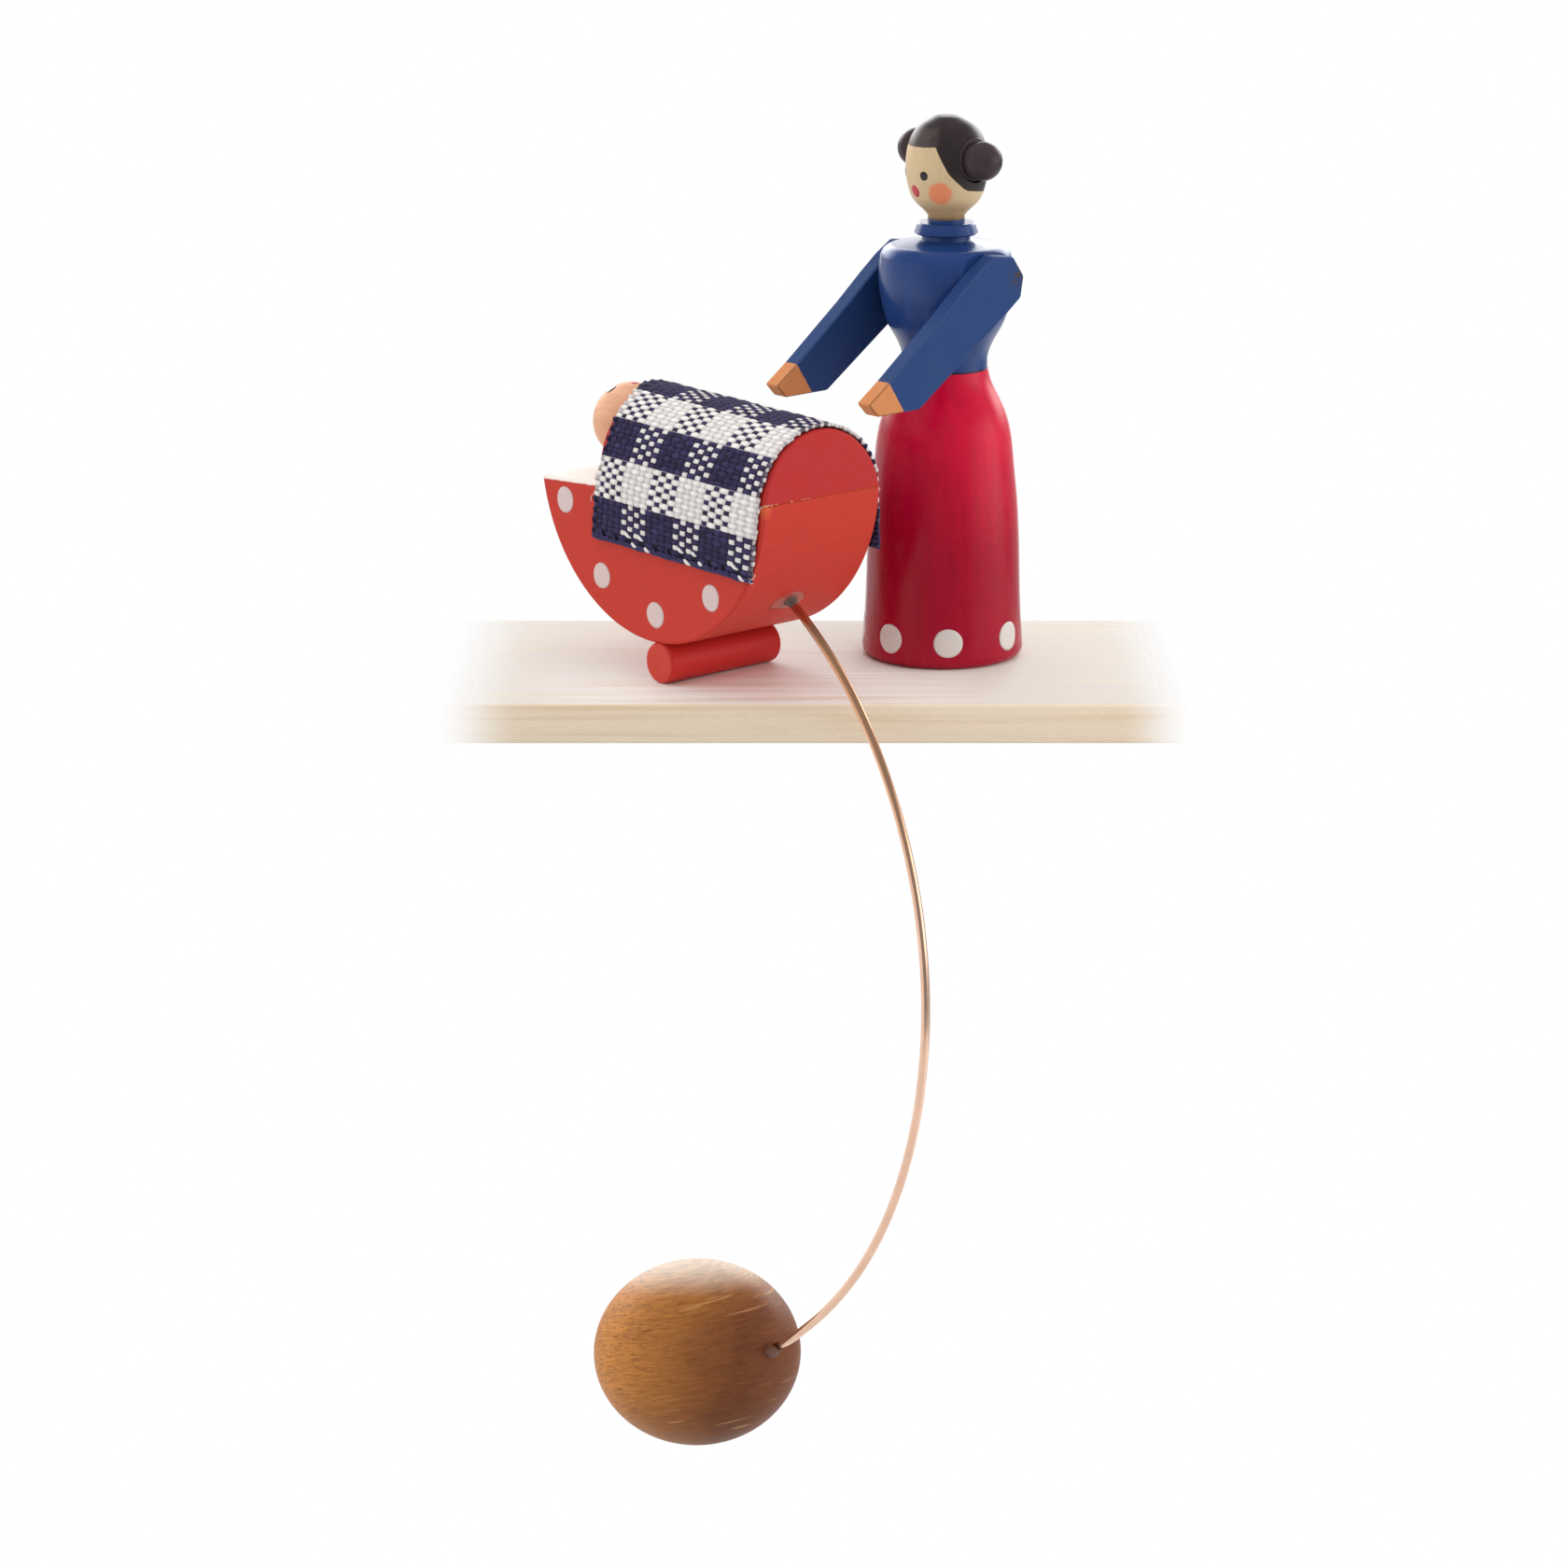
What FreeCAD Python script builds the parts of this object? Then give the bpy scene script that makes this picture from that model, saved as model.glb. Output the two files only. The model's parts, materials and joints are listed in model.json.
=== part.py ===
import FreeCAD, Part
import math
import os
from FreeCAD import Placement, Rotation, Vector

# Wooden balancing toy: a turned mother figure stands beside a half-moon cradle
# that rocks on a dowel foot, balanced by a wooden weight on a bent wire.
# Millimetres. The origin is the centre of the figure's flat base, +Z is up, the
# figure faces -Y towards the cradle, and the wire leaves the cradle at its +X end.

# Skirt: turned bell; its side is (radius, share of the skirt's height)
skirt_height = 32.2
skirt_foot_radius = 8.93
skirt_foot_round = 1.0
skirt_side = [
    (8.55, 0.248),
    (8.2, 0.522),
    (7.7, 0.683),
    (7.2, 0.798),
    (6.48, 0.866),
    (5.3, 0.941),
]
skirt_waist_radius = 4.75

# Bodice: turned bust with a neck groove, a collar ring and a low stub; its side is
# (share of the bust's radius, share of the shoulders' rise over the waist)
bodice_waist_radius = 4.68
bodice_waist_length = 1.2
bust_radius = 7.37
shoulder_rise = 13.65
shoulder_round = 1.6
shoulder_inset = 0.15
bodice_side = [
    (0.73, 0.234),
    (0.858, 0.359),
    (0.953, 0.528),
    (1.0, 0.762),
]
shoulder_crown = 0.5
neck_groove_radius = 2.65
neck_groove_length = 1.12
collar_lower_radius = 3.5
collar_upper_radius = 3.17
collar_length = 1.28
collar_edge = 0.18
neck_stub_radius = 2.07
neck_stub_length = 0.4

# Glued spigots and their bores
glue_clearance = 0.04
waist_spigot_radius = 2.0
waist_spigot_length = 6.0
neck_spigot_radius = 1.2
neck_spigot_length = 3.0
bore_bottom_gap = 0.5

# Head: turned egg; its side is (share of its radius, share of its height)
head_height = 11.6
head_radius = 4.49
head_neck_radius = 2.0
head_neck_length = 0.35
head_side = [
    (0.557, 0.1164),
    (0.682, 0.1595),
    (0.768, 0.194),
    (0.855, 0.2457),
    (0.915, 0.306),
    (0.955, 0.3664),
    (0.989, 0.444),
    (1.0, 0.5302),
    (0.989, 0.6164),
    (0.958, 0.694),
    (0.895, 0.7802),
    (0.784, 0.8621),
    (0.637, 0.9267),
    (0.416, 0.975),
]

# Hair buns: a flanged knob on each side of the head, at heights over the collar
bun_left_height = 7.1
bun_right_height = 7.55
bun_set_back = 0.42
bun_seat_distance = 3.25
bun_flange_radius = 2.42
bun_flange_round = 0.4
bun_ball_radius = 2.14
bun_ball_distance = 5.22
bun_waist_radius = 1.83
bun_peg_radius = 0.7
bun_peg_length = 1.2
bun_seat_clearance = 0.05

# Arms: two sawn slats glued to flats on the bodice; the outline is
# (distance behind the figure's axis, height over the shoulders)
arm_thickness = 2.0
arm_flat_distance = 6.4
arm_edge_chamfer = 0.16
arm_outline = [
    (-0.6, -0.35),
    (2.2, -0.7),
    (3.8, -2.95),
    (3.4, -5.25),
    (1.4, -6.75),
    (-11.5, -15.7),
    (-17.6, -15.75),
    (-18.92, -14.35),
    (-15.95, -12.22),
    (-8.45, -6.37),
    (-5.05, -3.5),
    (-2.7, -1.65),
]

# Cradle block: a segment of a disc with a flat top
cradle_centre_x = -9.77
cradle_centre_y = -24.82
rest_tilt_deg = 3.7
rim_radius = 18.87
deck_drop = 2.04
cradle_width = 16.56
cradle_edge_round = 0.25

# Rocker foot: a dowel glued in a shallow groove across the rim
foot_radius = 2.29
foot_length = 15.85
foot_shift = -0.35
foot_groove_depth = 0.1
foot_edge_round = 0.4

# Swaddled body: a round bar, as wide as the cradle, sawn lengthwise at a slope
body_length = 27.25
body_foot_height = 7.1
body_head_height = 9.55
body_edge_round = 0.35

# Baby head: a small ball, flat where it is pegged to the body's end
baby_head_radius = 4.3
baby_flat_ledge = 0.1
baby_head_height = 5.48
baby_peg_radius = 0.9
baby_peg_length = 2.4
baby_neck_gap = 0.05

# Blanket: a woven cloth over the body, hanging down both sides; an edge is
# (distance from that end of the body towards the wire, height above the deck)
cloth_gap = 0.04
cloth_thickness = 0.55
cloth_head_edge = [(-1.45, 8.8), (2.2, 1.0), (1.05, -0.4), (-0.55, -5.9)]
cloth_wire_edge = [(-1.64, -8.15), (-0.14, -1.7)]
cloth_far_rise = 0.5

# Pendulum wire: its corners are (distance, height) from the hole's mouth, with
# the cradle level, and its first run is in line with the hole
wire_radius = 0.48
wire_hole_clearance = 0.05
wire_hole_angle_deg = 42.5
wire_hole_slope_deg = 39.2
wire_hole_depth = 4.5
wire_block_depth = 4.0
wire_first_run = 5.38
wire_corners = [
    (8.66, -8.15),
    (13.08, -14.83),
    (16.34, -22.11),
    (18.4, -29.8),
    (19.26, -37.72),
    (18.93, -45.7),
    (17.45, -53.53),
    (14.85, -61.06),
    (11.2, -68.15),
    (6.52, -74.67),
    (0.9, -80.4),
    (-6.0, -85.67),
]
wire_last_run = 3.31
run_share_in_bend = 0.45

# Weight: olive-shaped, on the wire's end; its long axis and its hole rise
# towards the wire, by these slopes with the cradle level
weight_radius = 10.7
weight_half_length = 13.75
weight_end_flat_radius = 1.1
weight_slope_deg = 14.8
weight_hole_slope_deg = 27.3
weight_hole_clearance = 0.2
weight_wire_depth = 4.0
weight_hole_extra_depth = 1.0


def revolve(profile, axis_point=Vector(0, 0, 0), axis=Vector(0, 0, 1)):
    """Turn a closed wire of edges once round an axis."""
    return Part.Face(Part.Wire(profile)).revolve(axis_point, axis, 360)


def line(start, end):
    """Straight edge between two (radius, height) points."""
    return Part.LineSegment(Vector(start[0], 0, start[1]), Vector(end[0], 0, end[1])).toShape()


def arc(start, middle, end):
    """Round edge through three (radius, height) points."""
    points = [Vector(p[0], 0, p[1]) for p in (start, middle, end)]
    return Part.Arc(*points).toShape()


def curve(points):
    """Smooth edge through (radius, height) points."""
    spline = Part.BSplineCurve()
    spline.interpolate([Vector(p[0], 0, p[1]) for p in points])
    return spline.toShape()


def quarter_round(centre, radius, from_deg, to_deg):
    """Round edge about a centre, from one angle to another, anticlockwise from +radius."""
    angles = [math.radians(a) for a in (from_deg, (from_deg + to_deg) / 2, to_deg)]
    points = [(centre[0] + radius * math.cos(a), centre[1] + radius * math.sin(a)) for a in angles]
    return arc(*points), points[0], points[2]


def cylinder(radius, length, base, direction):
    """Plain round bar from a base point along a direction."""
    return Part.makeCylinder(radius, length, base, direction)


def make_skirt():
    """Bell skirt with a rounded foot, and a blind bore for the bodice's spigot."""
    foot, foot_start, foot_end = quarter_round(
        (skirt_foot_radius - skirt_foot_round, skirt_foot_round), skirt_foot_round, -90, 0)
    middle = [(radius, share * skirt_height) for radius, share in skirt_side]
    side = curve([foot_end] + middle + [(skirt_waist_radius, skirt_height)])
    profile = [
        line((0, 0), foot_start),
        foot,
        side,
        line((skirt_waist_radius, skirt_height), (0, skirt_height)),
        line((0, skirt_height), (0, 0)),
    ]
    bore_depth = waist_spigot_length + bore_bottom_gap
    bore = cylinder(waist_spigot_radius + glue_clearance, bore_depth,
                    Vector(0, 0, skirt_height - bore_depth), Vector(0, 0, 1))
    return revolve(profile).cut(bore)


def shoulder_height():
    """Height of the shoulders' flat top."""
    return skirt_height + shoulder_rise


def collar_top():
    """Height of the collar's flat top."""
    return shoulder_height() + neck_groove_length + collar_length


def head_seat():
    """Height of the stub's flat top, where the head sits."""
    return collar_top() + neck_stub_length


def make_bodice():
    """Bust, shoulders, neck groove, collar ring and stub, with a spigot at each end."""
    shoulders = shoulder_height()
    groove_top = shoulders + neck_groove_length
    top = collar_top()
    seat = head_seat()
    spigot_top = seat + neck_spigot_length
    spigot_bottom = skirt_height - waist_spigot_length
    shoulder, shoulder_start, shoulder_end = quarter_round(
        (bust_radius - shoulder_inset - shoulder_round, shoulders - shoulder_round),
        shoulder_round, 0, 90)
    waist_top = (bodice_waist_radius, skirt_height + bodice_waist_length)
    middle = [(r_share * bust_radius, skirt_height + z_share * shoulder_rise)
              for r_share, z_share in bodice_side]
    side = curve([waist_top] + middle + [shoulder_start])
    profile = [
        line((0, spigot_bottom), (waist_spigot_radius, spigot_bottom)),
        line((waist_spigot_radius, spigot_bottom), (waist_spigot_radius, skirt_height)),
        line((waist_spigot_radius, skirt_height), (bodice_waist_radius, skirt_height)),
        line((bodice_waist_radius, skirt_height), waist_top),
        side,
        shoulder,
        line(shoulder_end, (neck_groove_radius, shoulders + shoulder_crown)),
        line((neck_groove_radius, shoulders + shoulder_crown), (neck_groove_radius, groove_top)),
        line((neck_groove_radius, groove_top), (collar_lower_radius - collar_edge, groove_top)),
        line((collar_lower_radius - collar_edge, groove_top),
             (collar_lower_radius, groove_top + collar_edge)),
        line((collar_lower_radius, groove_top + collar_edge),
             (collar_upper_radius, top - collar_edge)),
        line((collar_upper_radius, top - collar_edge), (collar_upper_radius - collar_edge, top)),
        line((collar_upper_radius - collar_edge, top), (neck_stub_radius, top)),
        line((neck_stub_radius, top), (neck_stub_radius, seat)),
        line((neck_stub_radius, seat), (neck_spigot_radius, seat)),
        line((neck_spigot_radius, seat), (neck_spigot_radius, spigot_top)),
        line((neck_spigot_radius, spigot_top), (0, spigot_top)),
        line((0, spigot_top), (0, spigot_bottom)),
    ]
    bodice = revolve(profile)
    for side_sign in (-1, 1):
        waste = Part.makeBox(bust_radius, 4 * bust_radius, spigot_top)
        start = arm_flat_distance if side_sign > 0 else -arm_flat_distance - bust_radius
        waste.translate(Vector(start, -2 * bust_radius, 0))
        bodice = bodice.cut(waste)
    return bodice


def make_head():
    """Egg on a short neck, with a bore below and a spot-faced seat for each bun."""
    bottom = head_seat()
    neck_top = bottom + head_neck_length
    crown = collar_top() + head_height
    side = [Vector(r_share * head_radius, 0, collar_top() + z_share * head_height)
            for r_share, z_share in head_side]
    egg = Part.BSplineCurve()
    egg.interpolate(side + [Vector(0, 0, crown)],
                    InitialTangent=Vector(1, 0, 1), FinalTangent=Vector(-1, 0, 0))
    profile = [
        line((0, bottom), (head_neck_radius, bottom)),
        line((head_neck_radius, bottom), (head_neck_radius, neck_top)),
        line((head_neck_radius, neck_top), (side[0].x, side[0].z)),
        egg.toShape(),
        line((0, crown), (0, bottom)),
    ]
    head = revolve(profile)
    head.rotate(Vector(0, 0, 0), Vector(0, 0, 1), 90)
    bore = cylinder(neck_spigot_radius + glue_clearance, neck_spigot_length + bore_bottom_gap,
                    Vector(0, 0, bottom), Vector(0, 0, 1))
    head = head.cut(bore)
    for side_sign in (-1, 1):
        outward = Vector(side_sign, 0, 0)
        seat = bun_origin(side_sign) + outward * bun_seat_distance
        spot = cylinder(bun_flange_radius + bun_seat_clearance, head_radius, seat, outward)
        peg_depth = bun_peg_length + bore_bottom_gap
        peg_bore = cylinder(bun_peg_radius + glue_clearance, peg_depth,
                            seat - outward * peg_depth, outward)
        head = head.cut(spot).cut(peg_bore)
    return head


def bun_origin(side_sign):
    """Point of the head's middle plane from which a bun's distances are measured."""
    rise = bun_left_height if side_sign > 0 else bun_right_height
    return Vector(0, bun_set_back, collar_top() + rise)


def make_bun(side_sign):
    """Turned knob: peg, rounded flange and ball, lying along X."""
    half_ball = math.sqrt(bun_ball_radius ** 2 - bun_waist_radius ** 2)
    flange_end = bun_ball_distance - half_ball
    ball_end = bun_ball_distance + bun_ball_radius
    flange, flange_start, flange_stop = quarter_round(
        (bun_flange_radius - bun_flange_round, flange_end - bun_flange_round),
        bun_flange_round, 0, 90)
    cap_angle = math.asin(half_ball / bun_ball_radius)
    cap_middle = (cap_angle + math.pi / 2) / 2
    ball = arc((bun_waist_radius, flange_end), (bun_ball_radius, bun_ball_distance),
               (bun_waist_radius, bun_ball_distance + half_ball))
    cap = arc((bun_waist_radius, bun_ball_distance + half_ball),
              (bun_ball_radius * math.cos(cap_middle),
               bun_ball_distance + bun_ball_radius * math.sin(cap_middle)),
              (0, ball_end))
    peg_start = bun_seat_distance - bun_peg_length
    profile = [
        line((0, peg_start), (bun_peg_radius, peg_start)),
        line((bun_peg_radius, peg_start), (bun_peg_radius, bun_seat_distance)),
        line((bun_peg_radius, bun_seat_distance), (bun_flange_radius, bun_seat_distance)),
        line((bun_flange_radius, bun_seat_distance), flange_start),
        flange,
        line(flange_stop, (bun_waist_radius, flange_end)),
        ball,
        cap,
        line((0, ball_end), (0, peg_start)),
    ]
    bun = revolve(profile)
    turn = Rotation(Vector(0, 0, 1), Vector(side_sign, 0, 0))
    bun.Placement = Placement(bun_origin(side_sign), turn)
    return bun


def make_arm(side_sign):
    """Slat sawn to the sleeve and hand outline, with eased edges."""
    points = [Vector(0, y, shoulder_height() + rise) for y, rise in arm_outline]
    face = Part.Face(Part.makePolygon(points + points[:1]))
    arm = face.extrude(Vector(arm_thickness, 0, 0))
    arm = arm.makeChamfer(arm_edge_chamfer, arm.Edges)
    start = arm_flat_distance if side_sign > 0 else -arm_flat_distance - arm_thickness
    arm.translate(Vector(start, 0, 0))
    return arm


# The cradle is modelled level about its rocking axis, the foot's own axis:
# x along its length, y across it, z up from that axis. place_cradle() sets it
# at its place beside the figure, at the slight tilt at which it comes to rest.

def deck_height():
    """Height of the flat top above the rocking axis."""
    return rim_centre_height() - deck_drop


def rim_centre_height():
    """Height of the rim's centre above the rocking axis."""
    return rim_radius + foot_radius - foot_groove_depth


def half_chord():
    """Half the length of the flat top."""
    return math.sqrt(rim_radius ** 2 - deck_drop ** 2)


def rocking_axis():
    """A point of the rocking axis, at the middle of the cradle's width."""
    return Vector(cradle_centre_x, cradle_centre_y, foot_radius)


def place_cradle(shape):
    """Move a level cradle piece to its place and rest tilt."""
    placed = shape.copy()
    tilt = Rotation(Vector(0, 1, 0), -rest_tilt_deg)
    placed.transformShape(Placement(rocking_axis(), tilt).toMatrix())
    return placed


def wire_hole_direction():
    """Outward direction of the wire's hole in the block."""
    slope = math.radians(wire_hole_slope_deg)
    return Vector(math.cos(slope), 0, -math.sin(slope))


def wire_hole_mouth():
    """Point of the rim where the wire leaves the block."""
    angle = math.radians(wire_hole_angle_deg)
    outward = Vector(math.sin(angle), 0, -math.cos(angle))
    return Vector(0, 0, rim_centre_height()) + outward * rim_radius


def make_cradle_block():
    """Half-moon block with eased edges, a foot groove and the wire's hole."""
    centre = Vector(0, 0, rim_centre_height())
    top = deck_height()
    chord = half_chord()
    left = Vector(-chord, 0, top)
    right = Vector(chord, 0, top)
    low = centre - Vector(0, 0, rim_radius)
    outline = Part.Wire([Part.Arc(left, low, right).toShape(), Part.LineSegment(right, left).toShape()])
    block = Part.Face(outline).extrude(Vector(0, cradle_width, 0))
    block.translate(Vector(0, -cradle_width / 2, 0))
    block = block.makeChamfer(cradle_edge_round, block.Edges)
    groove = cylinder(foot_radius, 2 * cradle_width, Vector(0, -cradle_width, 0), Vector(0, 1, 0))
    hole_end = wire_hole_mouth() - wire_hole_direction() * wire_hole_depth
    hole = cylinder(wire_radius + wire_hole_clearance, 2 * wire_hole_depth, hole_end,
                    wire_hole_direction())
    return block.cut(groove).cut(hole)


def make_foot():
    """Dowel under the rim, with rounded ends."""
    foot = cylinder(foot_radius, foot_length,
                    Vector(0, foot_shift - foot_length / 2, 0), Vector(0, 1, 0))
    ends = [edge for edge in foot.Edges if edge.Closed]
    return foot.makeFillet(foot_edge_round, ends)


def body_radius():
    """Radius of the sawn bar, which is as wide as the cradle."""
    return cradle_width / 2


def body_head_end():
    """Distance along the cradle of the swaddled body's head end."""
    return half_chord() - body_length


def body_axis_frame():
    """Foot-end centre and unit direction of the sawn bar's axis."""
    rise = body_head_height - body_foot_height
    foot_centre = Vector(half_chord(), 0, deck_height() + body_foot_height - body_radius())
    direction = Vector(-body_length, 0, rise).normalize()
    return foot_centre, direction


def make_swaddled_body():
    """Sloping half-round bar on the deck, with the bore for the baby's head."""
    foot_centre, direction = body_axis_frame()
    radius = body_radius()
    bar = cylinder(radius, body_length + 2 * radius, foot_centre - direction * radius, direction)
    limits = Part.makeBox(body_length, 4 * radius, 3 * radius)
    limits.translate(Vector(body_head_end(), -2 * radius, deck_height()))
    body = bar.common(limits)
    rim_edges = [edge for edge in body.Edges
                 if edge.BoundBox.XLength < radius / 4 and edge.BoundBox.ZLength > radius / 2]
    body = body.makeFillet(body_edge_round, rim_edges)
    peg_depth = baby_peg_length + bore_bottom_gap
    bore = cylinder(baby_peg_radius + glue_clearance, peg_depth,
                    Vector(body_head_end(), 0, deck_height() + baby_head_height), Vector(1, 0, 0))
    return body.cut(bore)


def make_baby_head():
    """Ball with a flat and a peg towards the swaddled body."""
    flat_radius = baby_peg_radius + baby_flat_ledge
    seat = math.sqrt(baby_head_radius ** 2 - flat_radius ** 2)
    reach = seat + baby_neck_gap
    centre = Vector(body_head_end() - reach, 0, deck_height() + baby_head_height)
    peg_end = reach + baby_peg_length
    profile = [
        arc((0, -baby_head_radius), (baby_head_radius, 0), (flat_radius, seat)),
        line((flat_radius, seat), (baby_peg_radius, seat)),
        line((baby_peg_radius, seat), (baby_peg_radius, peg_end)),
        line((baby_peg_radius, peg_end), (0, peg_end)),
        line((0, peg_end), (0, -baby_head_radius)),
    ]
    head = revolve(profile)
    head.Placement = Placement(centre, Rotation(Vector(0, 0, 1), Vector(1, 0, 0)))
    return head


def tunnel(radius, legs, start, length, direction):
    """Arched bar: a half-round of one radius on straight legs, along a sloping axis."""
    outline = Part.Wire([
        Part.LineSegment(Vector(0, -radius, -legs), Vector(0, -radius, 0)).toShape(),
        Part.Arc(Vector(0, -radius, 0), Vector(0, 0, radius), Vector(0, radius, 0)).toShape(),
        Part.LineSegment(Vector(0, radius, 0), Vector(0, radius, -legs)).toShape(),
        Part.LineSegment(Vector(0, radius, -legs), Vector(0, -radius, -legs)).toShape(),
    ])
    bar = Part.Face(outline).extrude(direction * length)
    bar.translate(start)
    return bar


def make_blanket():
    """Cloth over the body and down both sides, cut to its slanting hems and edges."""
    foot_centre, direction = body_axis_frame()
    axis_depth = body_radius() - body_foot_height
    inner_radius = math.hypot(cradle_width / 2, axis_depth) + cloth_gap
    outer_radius = inner_radius + cloth_thickness
    legs = 3 * inner_radius
    length = body_length + 3 * inner_radius
    start = foot_centre - direction * inner_radius
    outer = tunnel(outer_radius, legs, start, length, direction)
    inner = tunnel(inner_radius, 2 * legs, start - direction, length + 2, direction)
    cloth = outer.cut(inner)
    head_edge = [(body_head_end() + x, height) for x, height in cloth_head_edge]
    wire_edge = [(half_chord() + x, height) for x, height in cloth_wire_edge]
    top = 2 * body_head_height
    outline = [(head_edge[0][0], top)] + head_edge + wire_edge + [(wire_edge[-1][0], top)]
    corners = [Vector(x, 0, deck_height() + height) for x, height in outline]
    keep = Part.Face(Part.makePolygon(corners + corners[:1])).extrude(Vector(0, 2 * outer_radius, 0))
    near_keep = keep.copy()
    near_keep.translate(Vector(0, -2 * outer_radius, 0))
    far_keep = keep.copy()
    far_keep.translate(Vector(0, 0, cloth_far_rise))
    near_half = cloth.common(near_keep)
    far_half = cloth.common(far_keep)
    return near_half.fuse(far_half).removeSplitter()


def rising(slope_deg):
    """Unit direction towards the wire, rising by a slope."""
    slope = math.radians(slope_deg)
    return Vector(math.cos(slope), 0, math.sin(slope))


def weight_end_reach():
    """Distance from the weight's centre to the small flat at each end."""
    return weight_half_length * math.sqrt(1 - (weight_end_flat_radius / weight_radius) ** 2)


def wire_corner_points():
    """Corners of the wire's route outside the block and the weight."""
    mouth = wire_hole_mouth()
    first = mouth + wire_hole_direction() * wire_first_run
    return [first] + [mouth + Vector(x, 0, z) for x, z in wire_corners]


def weight_hole_mouth():
    """Centre of the weight's upper flat, where the wire goes in."""
    return wire_corner_points()[-1] - rising(weight_hole_slope_deg) * wire_last_run


def make_weight():
    """Olive-shaped turned weight, flat where it was parted off, drilled for the wire."""
    long_axis = rising(weight_slope_deg)
    hole_axis = rising(weight_hole_slope_deg)
    reach = weight_end_reach()
    centre = weight_hole_mouth() - long_axis * reach
    ellipse = Part.Ellipse(Vector(0, 0, weight_half_length), Vector(weight_radius, 0, 0), Vector(0, 0, 0))
    upper = ellipse.parameter(Vector(weight_end_flat_radius, 0, reach))
    lower = ellipse.parameter(Vector(weight_end_flat_radius, 0, -reach))
    side = Part.ArcOfEllipse(ellipse, lower, upper).toShape()
    if side.BoundBox.XMin < 0:
        side = Part.ArcOfEllipse(ellipse, upper, lower).toShape()
    profile = [
        line((0, -reach), (weight_end_flat_radius, -reach)),
        side,
        line((weight_end_flat_radius, reach), (0, reach)),
        line((0, reach), (0, -reach)),
    ]
    weight = revolve(Part.__sortEdges__(profile))
    seam_turn = Rotation(Vector(0, 0, 1), 90)
    weight.Placement = Placement(centre, Rotation(Vector(0, 0, 1), long_axis) * seam_turn)
    depth = weight_wire_depth + weight_hole_extra_depth
    hole = cylinder(wire_radius + weight_hole_clearance, 2 * depth,
                    weight_hole_mouth() - hole_axis * depth, hole_axis)
    return weight.cut(hole)


def wire_points():
    """Route of the wire, from inside the block to inside the weight."""
    start = wire_hole_mouth() - wire_hole_direction() * wire_block_depth
    end = weight_hole_mouth() - rising(weight_hole_slope_deg) * weight_wire_depth
    return [start] + wire_corner_points() + [end]


def make_wire():
    """Round wire along straight runs joined by tangent arcs."""
    route = wire_points()
    edges = []
    here = route[0]
    tightest = 1e9
    for before, corner, after in zip(route, route[1:], route[2:]):
        run_in = corner - before
        run_out = after - corner
        turn = run_in.getAngle(run_out)
        reach = run_share_in_bend * min(run_in.Length, run_out.Length)
        tightest = min(tightest, reach / math.tan(turn / 2))
        start = corner - run_in.normalize() * reach
        end = corner + run_out.normalize() * reach
        inward = (start + end) * 0.5 - corner
        radius = reach / math.tan(turn / 2)
        apex_distance = radius / math.cos(turn / 2) - radius
        apex = corner + inward.normalize() * apex_distance
        edges.append(Part.LineSegment(here, start).toShape())
        edges.append(Part.Arc(start, apex, end).toShape())
        here = end
    edges.append(Part.LineSegment(here, route[-1]).toShape())
    path = Part.Wire(edges)
    first_run = (route[1] - route[0]).normalize()
    section = Part.Wire(Part.makeCircle(wire_radius, route[0], first_run))
    wire = path.makePipeShell([section], True, True)
    expected = math.pi * wire_radius ** 2 * path.Length
    print("wire length %.1f, volume %.3f of %.3f, tightest bend %.1f"
          % (path.Length, wire.Volume, expected, tightest))
    return wire


def build():
    """All pieces by node name."""
    pieces = {
        "skirt": make_skirt(),
        "bodice": make_bodice(),
        "head": make_head(),
        "hair_bun_left": make_bun(1),
        "hair_bun_right": make_bun(-1),
        "arm_left": make_arm(1),
        "arm_right": make_arm(-1),
    }
    level_pieces = {
        "cradle_block": make_cradle_block(),
        "rocker_foot": make_foot(),
        "swaddled_body": make_swaddled_body(),
        "baby_head": make_baby_head(),
        "blanket": make_blanket(),
        "pendulum_wire": make_wire(),
        "pendulum_weight": make_weight(),
    }
    for name, shape in level_pieces.items():
        pieces[name] = place_cradle(shape)
    return pieces


os.makedirs("parts", exist_ok=True)
for node, solid in build().items():
    if not solid.isValid() or len(solid.Solids) != 1:
        raise ValueError("%s is not one valid solid" % node)
    solid.exportStep("parts/%s.step" % node)
    print("%-16s volume %9.2f" % (node, solid.Volume))
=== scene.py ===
import functools
import json
import math

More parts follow.
